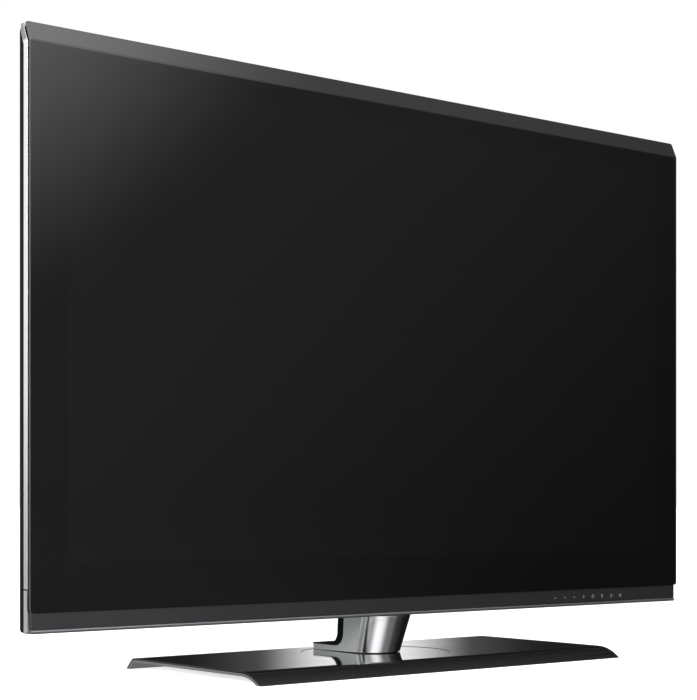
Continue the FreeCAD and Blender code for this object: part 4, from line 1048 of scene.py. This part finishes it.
# Bright cards and haze of the studio tent, and of the cloth on its floor: bearing from the
# viewer's side (-Y) towards +X, height, how far from its middle the card ends and how far it is
# full, all in degrees, and its level
CARDS = (
    (8, 33, 33, 22, 2.55),
    (9, 34, 52, 34, 0.15),
    (35, 60, 20.5, 8.5, 2.95),
    (20, 65, 58, 20, 0.7),
    (50, 0, 45, 15, 0.03),
    (140.3, 5, 3.7, 0.9, 1.25),
    (140.3, 5, 6.2, 2, 0.12),
    (-138, 14, 38, 16, 1.55),
    (-20, 41, 30, 6, 22.0),
    (-66, 36, 50, 16, 7.0),
)
FLOOR_CARDS = (
    (9, 34, 52, 34, 0.15),
    (50, 0, 45, 15, 0.03),
    (-125, 20, 45, 20, 0.55),
)


def studio_floor(shader):
    """Matt pale floor that reads white where the camera or a reflection sees it unshadowed."""
    sizes = bpy.context.scene.television_studio
    painted(shader, sizes.floor, {"Roughness": 0.9, "Emission Color": (1, 1, 1, 1)})
    tree = shader.id_data
    rays = add_node(tree, "ShaderNodeLightPath").outputs
    seen = rays["Is Camera Ray"]
    for other in ("Is Glossy Ray", "Is Transmission Ray"):
        seen = add_node(
            tree, "ShaderNodeMath", {0: seen, 1: rays[other]}, operation="ADD", use_clamp=True,
        ).outputs["Value"]
    glow = add_node(tree, "ShaderNodeMath", {0: seen, 1: sizes.floor_glow}, operation="MULTIPLY")
    feed(shader, {"Emission Strength": glow.outputs["Value"]})


class TELEVISION_OT_studio(PieceOperator, bpy.types.Operator):
    """Sets up the pale floor, the reflection tent, the soft light and the camera"""
    bl_idname = "television.studio"
    bl_label = "Studio"

    def build(self, scene):
        sizes = scene.television_studio
        floor = self.stage_mesh("studio_floor", finish(studio_floor), self.level_sheet(sizes, 0))
        dome = bmesh.new()
        bmesh.ops.create_uvsphere(dome, u_segments=64, v_segments=32, radius=sizes.tent_radius)
        tent = self.stage_mesh("studio_tent", self.cloth("studio_tent", sizes, CARDS), dome)
        flag = self.stage_mesh(
            "studio_flag", self.cloth("studio_flag", sizes, FLOOR_CARDS),
            self.level_sheet(sizes, sizes.flag_lift),
        )
        for made in (tent, flag):
            made.visible_camera = False
            made.visible_diffuse = False
            made.visible_transmission = False
            made.visible_volume_scatter = False
            made.visible_shadow = False

        lamp = bpy.data.lights.new("studio_key", "AREA")
        lamp.shape = "SQUARE"
        lamp.size = sizes.key_size
        lamp.energy = sizes.key_power
        key = bpy.data.objects.new("studio_key", lamp)
        key.location = sizes.key_place
        key.rotation_euler = (-key.location).to_track_quat("-Z", "Y").to_euler()
        key.visible_glossy = False

        view = bpy.data.cameras.new("studio_camera")
        view.sensor_width = FILM_WIDTH
        view.lens = sizes.focal_pixels / sizes.picture_pixels * FILM_WIDTH
        view.shift_y = sizes.horizon_drop / sizes.picture_pixels
        view.clip_end = sizes.floor_size
        camera = bpy.data.objects.new("studio_camera", view)
        camera.location = sizes.camera_place
        camera.rotation_euler = (QUARTER_TURN, 0, -sizes.camera_turn)
        for made in (key, camera):
            bpy.context.collection.objects.link(made)
        scene.camera = camera

        world = bpy.data.worlds.new("studio_white")
        tree = empty_tree(world)
        light = add_node(
            tree, "ShaderNodeBackground", {"Color": (1, 1, 1, 1), "Strength": sizes.world_level},
        )
        add_node(tree, "ShaderNodeOutputWorld", {"Surface": light.outputs["Background"]})
        scene.world = world
        scene.view_settings.view_transform = "Standard"

    def level_sheet(self, sizes, rise):
        """A square as large as the floor, at a height above it."""
        bm = bmesh.new()
        bmesh.ops.create_grid(
            bm, x_segments=1, y_segments=1, size=sizes.floor_size / 2,
            matrix=Matrix.Translation((0, 0, rise)),
        )
        return bm

    def stage_mesh(self, name, material, bm):
        for face in bm.faces:
            face.smooth = True
        mesh = bpy.data.meshes.new(name)
        bm.to_mesh(mesh)
        bm.free()
        mesh.materials.append(material)
        made = bpy.data.objects.new(name, mesh)
        bpy.context.collection.objects.link(made)
        return made

    def cloth(self, name, sizes, cards):
        """Glowing cloth whose level follows the direction it lies in."""
        material = bpy.data.materials.new(name)
        tree = empty_tree(material)
        place = add_node(tree, "ShaderNodeTexCoord").outputs["Object"]
        way = add_node(tree, "ShaderNodeVectorMath", {0: place}, operation="NORMALIZE")
        level = sizes.tent_level
        for bearing, height, end, full, gain in cards:
            east, rise = radians(bearing), radians(height)
            level_reach = cos(rise)
            aim = (sin(east) * level_reach, -cos(east) * level_reach, sin(rise))
            near = add_node(
                tree, "ShaderNodeVectorMath", {0: way.outputs["Vector"], 1: aim},
                operation="DOT_PRODUCT",
            )
            angle = add_node(
                tree, "ShaderNodeMath", {0: near.outputs["Value"]}, operation="ARCCOSINE",
            )
            card = add_node(
                tree, "ShaderNodeMapRange",
                {"Value": angle.outputs["Value"], "From Min": radians(end),
                 "From Max": radians(full), "To Min": 0.0, "To Max": gain},
                interpolation_type="SMOOTHSTEP",
            )
            level = add_node(
                tree, "ShaderNodeMath", {0: level, 1: card.outputs["Result"]}, operation="ADD",
            ).outputs["Value"]
        glow = add_node(tree, "ShaderNodeEmission", {"Color": (1, 1, 1, 1), "Strength": level})
        add_node(tree, "ShaderNodeOutputMaterial", {"Surface": glow.outputs["Emission"]})
        return material


PIECES = (
    TELEVISION_OT_front_sheet,
    TELEVISION_OT_lower_bar,
    TELEVISION_OT_touch_marks,
    TELEVISION_OT_trims,
    TELEVISION_OT_rear_housing,
    TELEVISION_OT_base,
    TELEVISION_OT_turntable,
    TELEVISION_OT_neck,
    TELEVISION_OT_carried_solids,
    TELEVISION_OT_studio,
)

SETTINGS = {
    "television_finish": FinishSettings,
    "television_panel": PanelSettings,
    "television_marks": MarkSettings,
    "television_stand": StandSettings,
    "television_studio": StudioSettings,
}


class TELEVISION_PT_sidebar(bpy.types.Panel):
    """Buttons and settings for the television's pieces"""
    bl_idname = "TELEVISION_PT_sidebar"
    bl_label = "Television"
    bl_space_type = "VIEW_3D"
    bl_region_type = "UI"
    bl_category = "Television"

    def draw(self, context):
        for operator in PIECES:
            self.layout.operator(operator.bl_idname)
        for name, group in SETTINGS.items():
            box = self.layout.box()
            settings = getattr(context.scene, name)
            for setting in group.bl_rna.properties:
                if setting.identifier not in ("rna_type", "name"):
                    box.prop(settings, setting.identifier)


CLASSES = (*SETTINGS.values(), *PIECES, TELEVISION_PT_sidebar)


def register():
    for made in CLASSES:
        bpy.utils.register_class(made)
    for name, group in SETTINGS.items():
        setattr(bpy.types.Scene, name, PointerProperty(type=group))


def unregister():
    for name in SETTINGS:
        delattr(bpy.types.Scene, name)
    for made in reversed(CLASSES):
        bpy.utils.unregister_class(made)


def main():
    register()
    for operator in PIECES:
        group, name = operator.bl_idname.split(".")
        result = getattr(getattr(bpy.ops, group), name)()
        if result != {"FINISHED"}:
            raise RuntimeError(f"{operator.bl_label} was not finished")


if __name__ == "__main__":
    main()
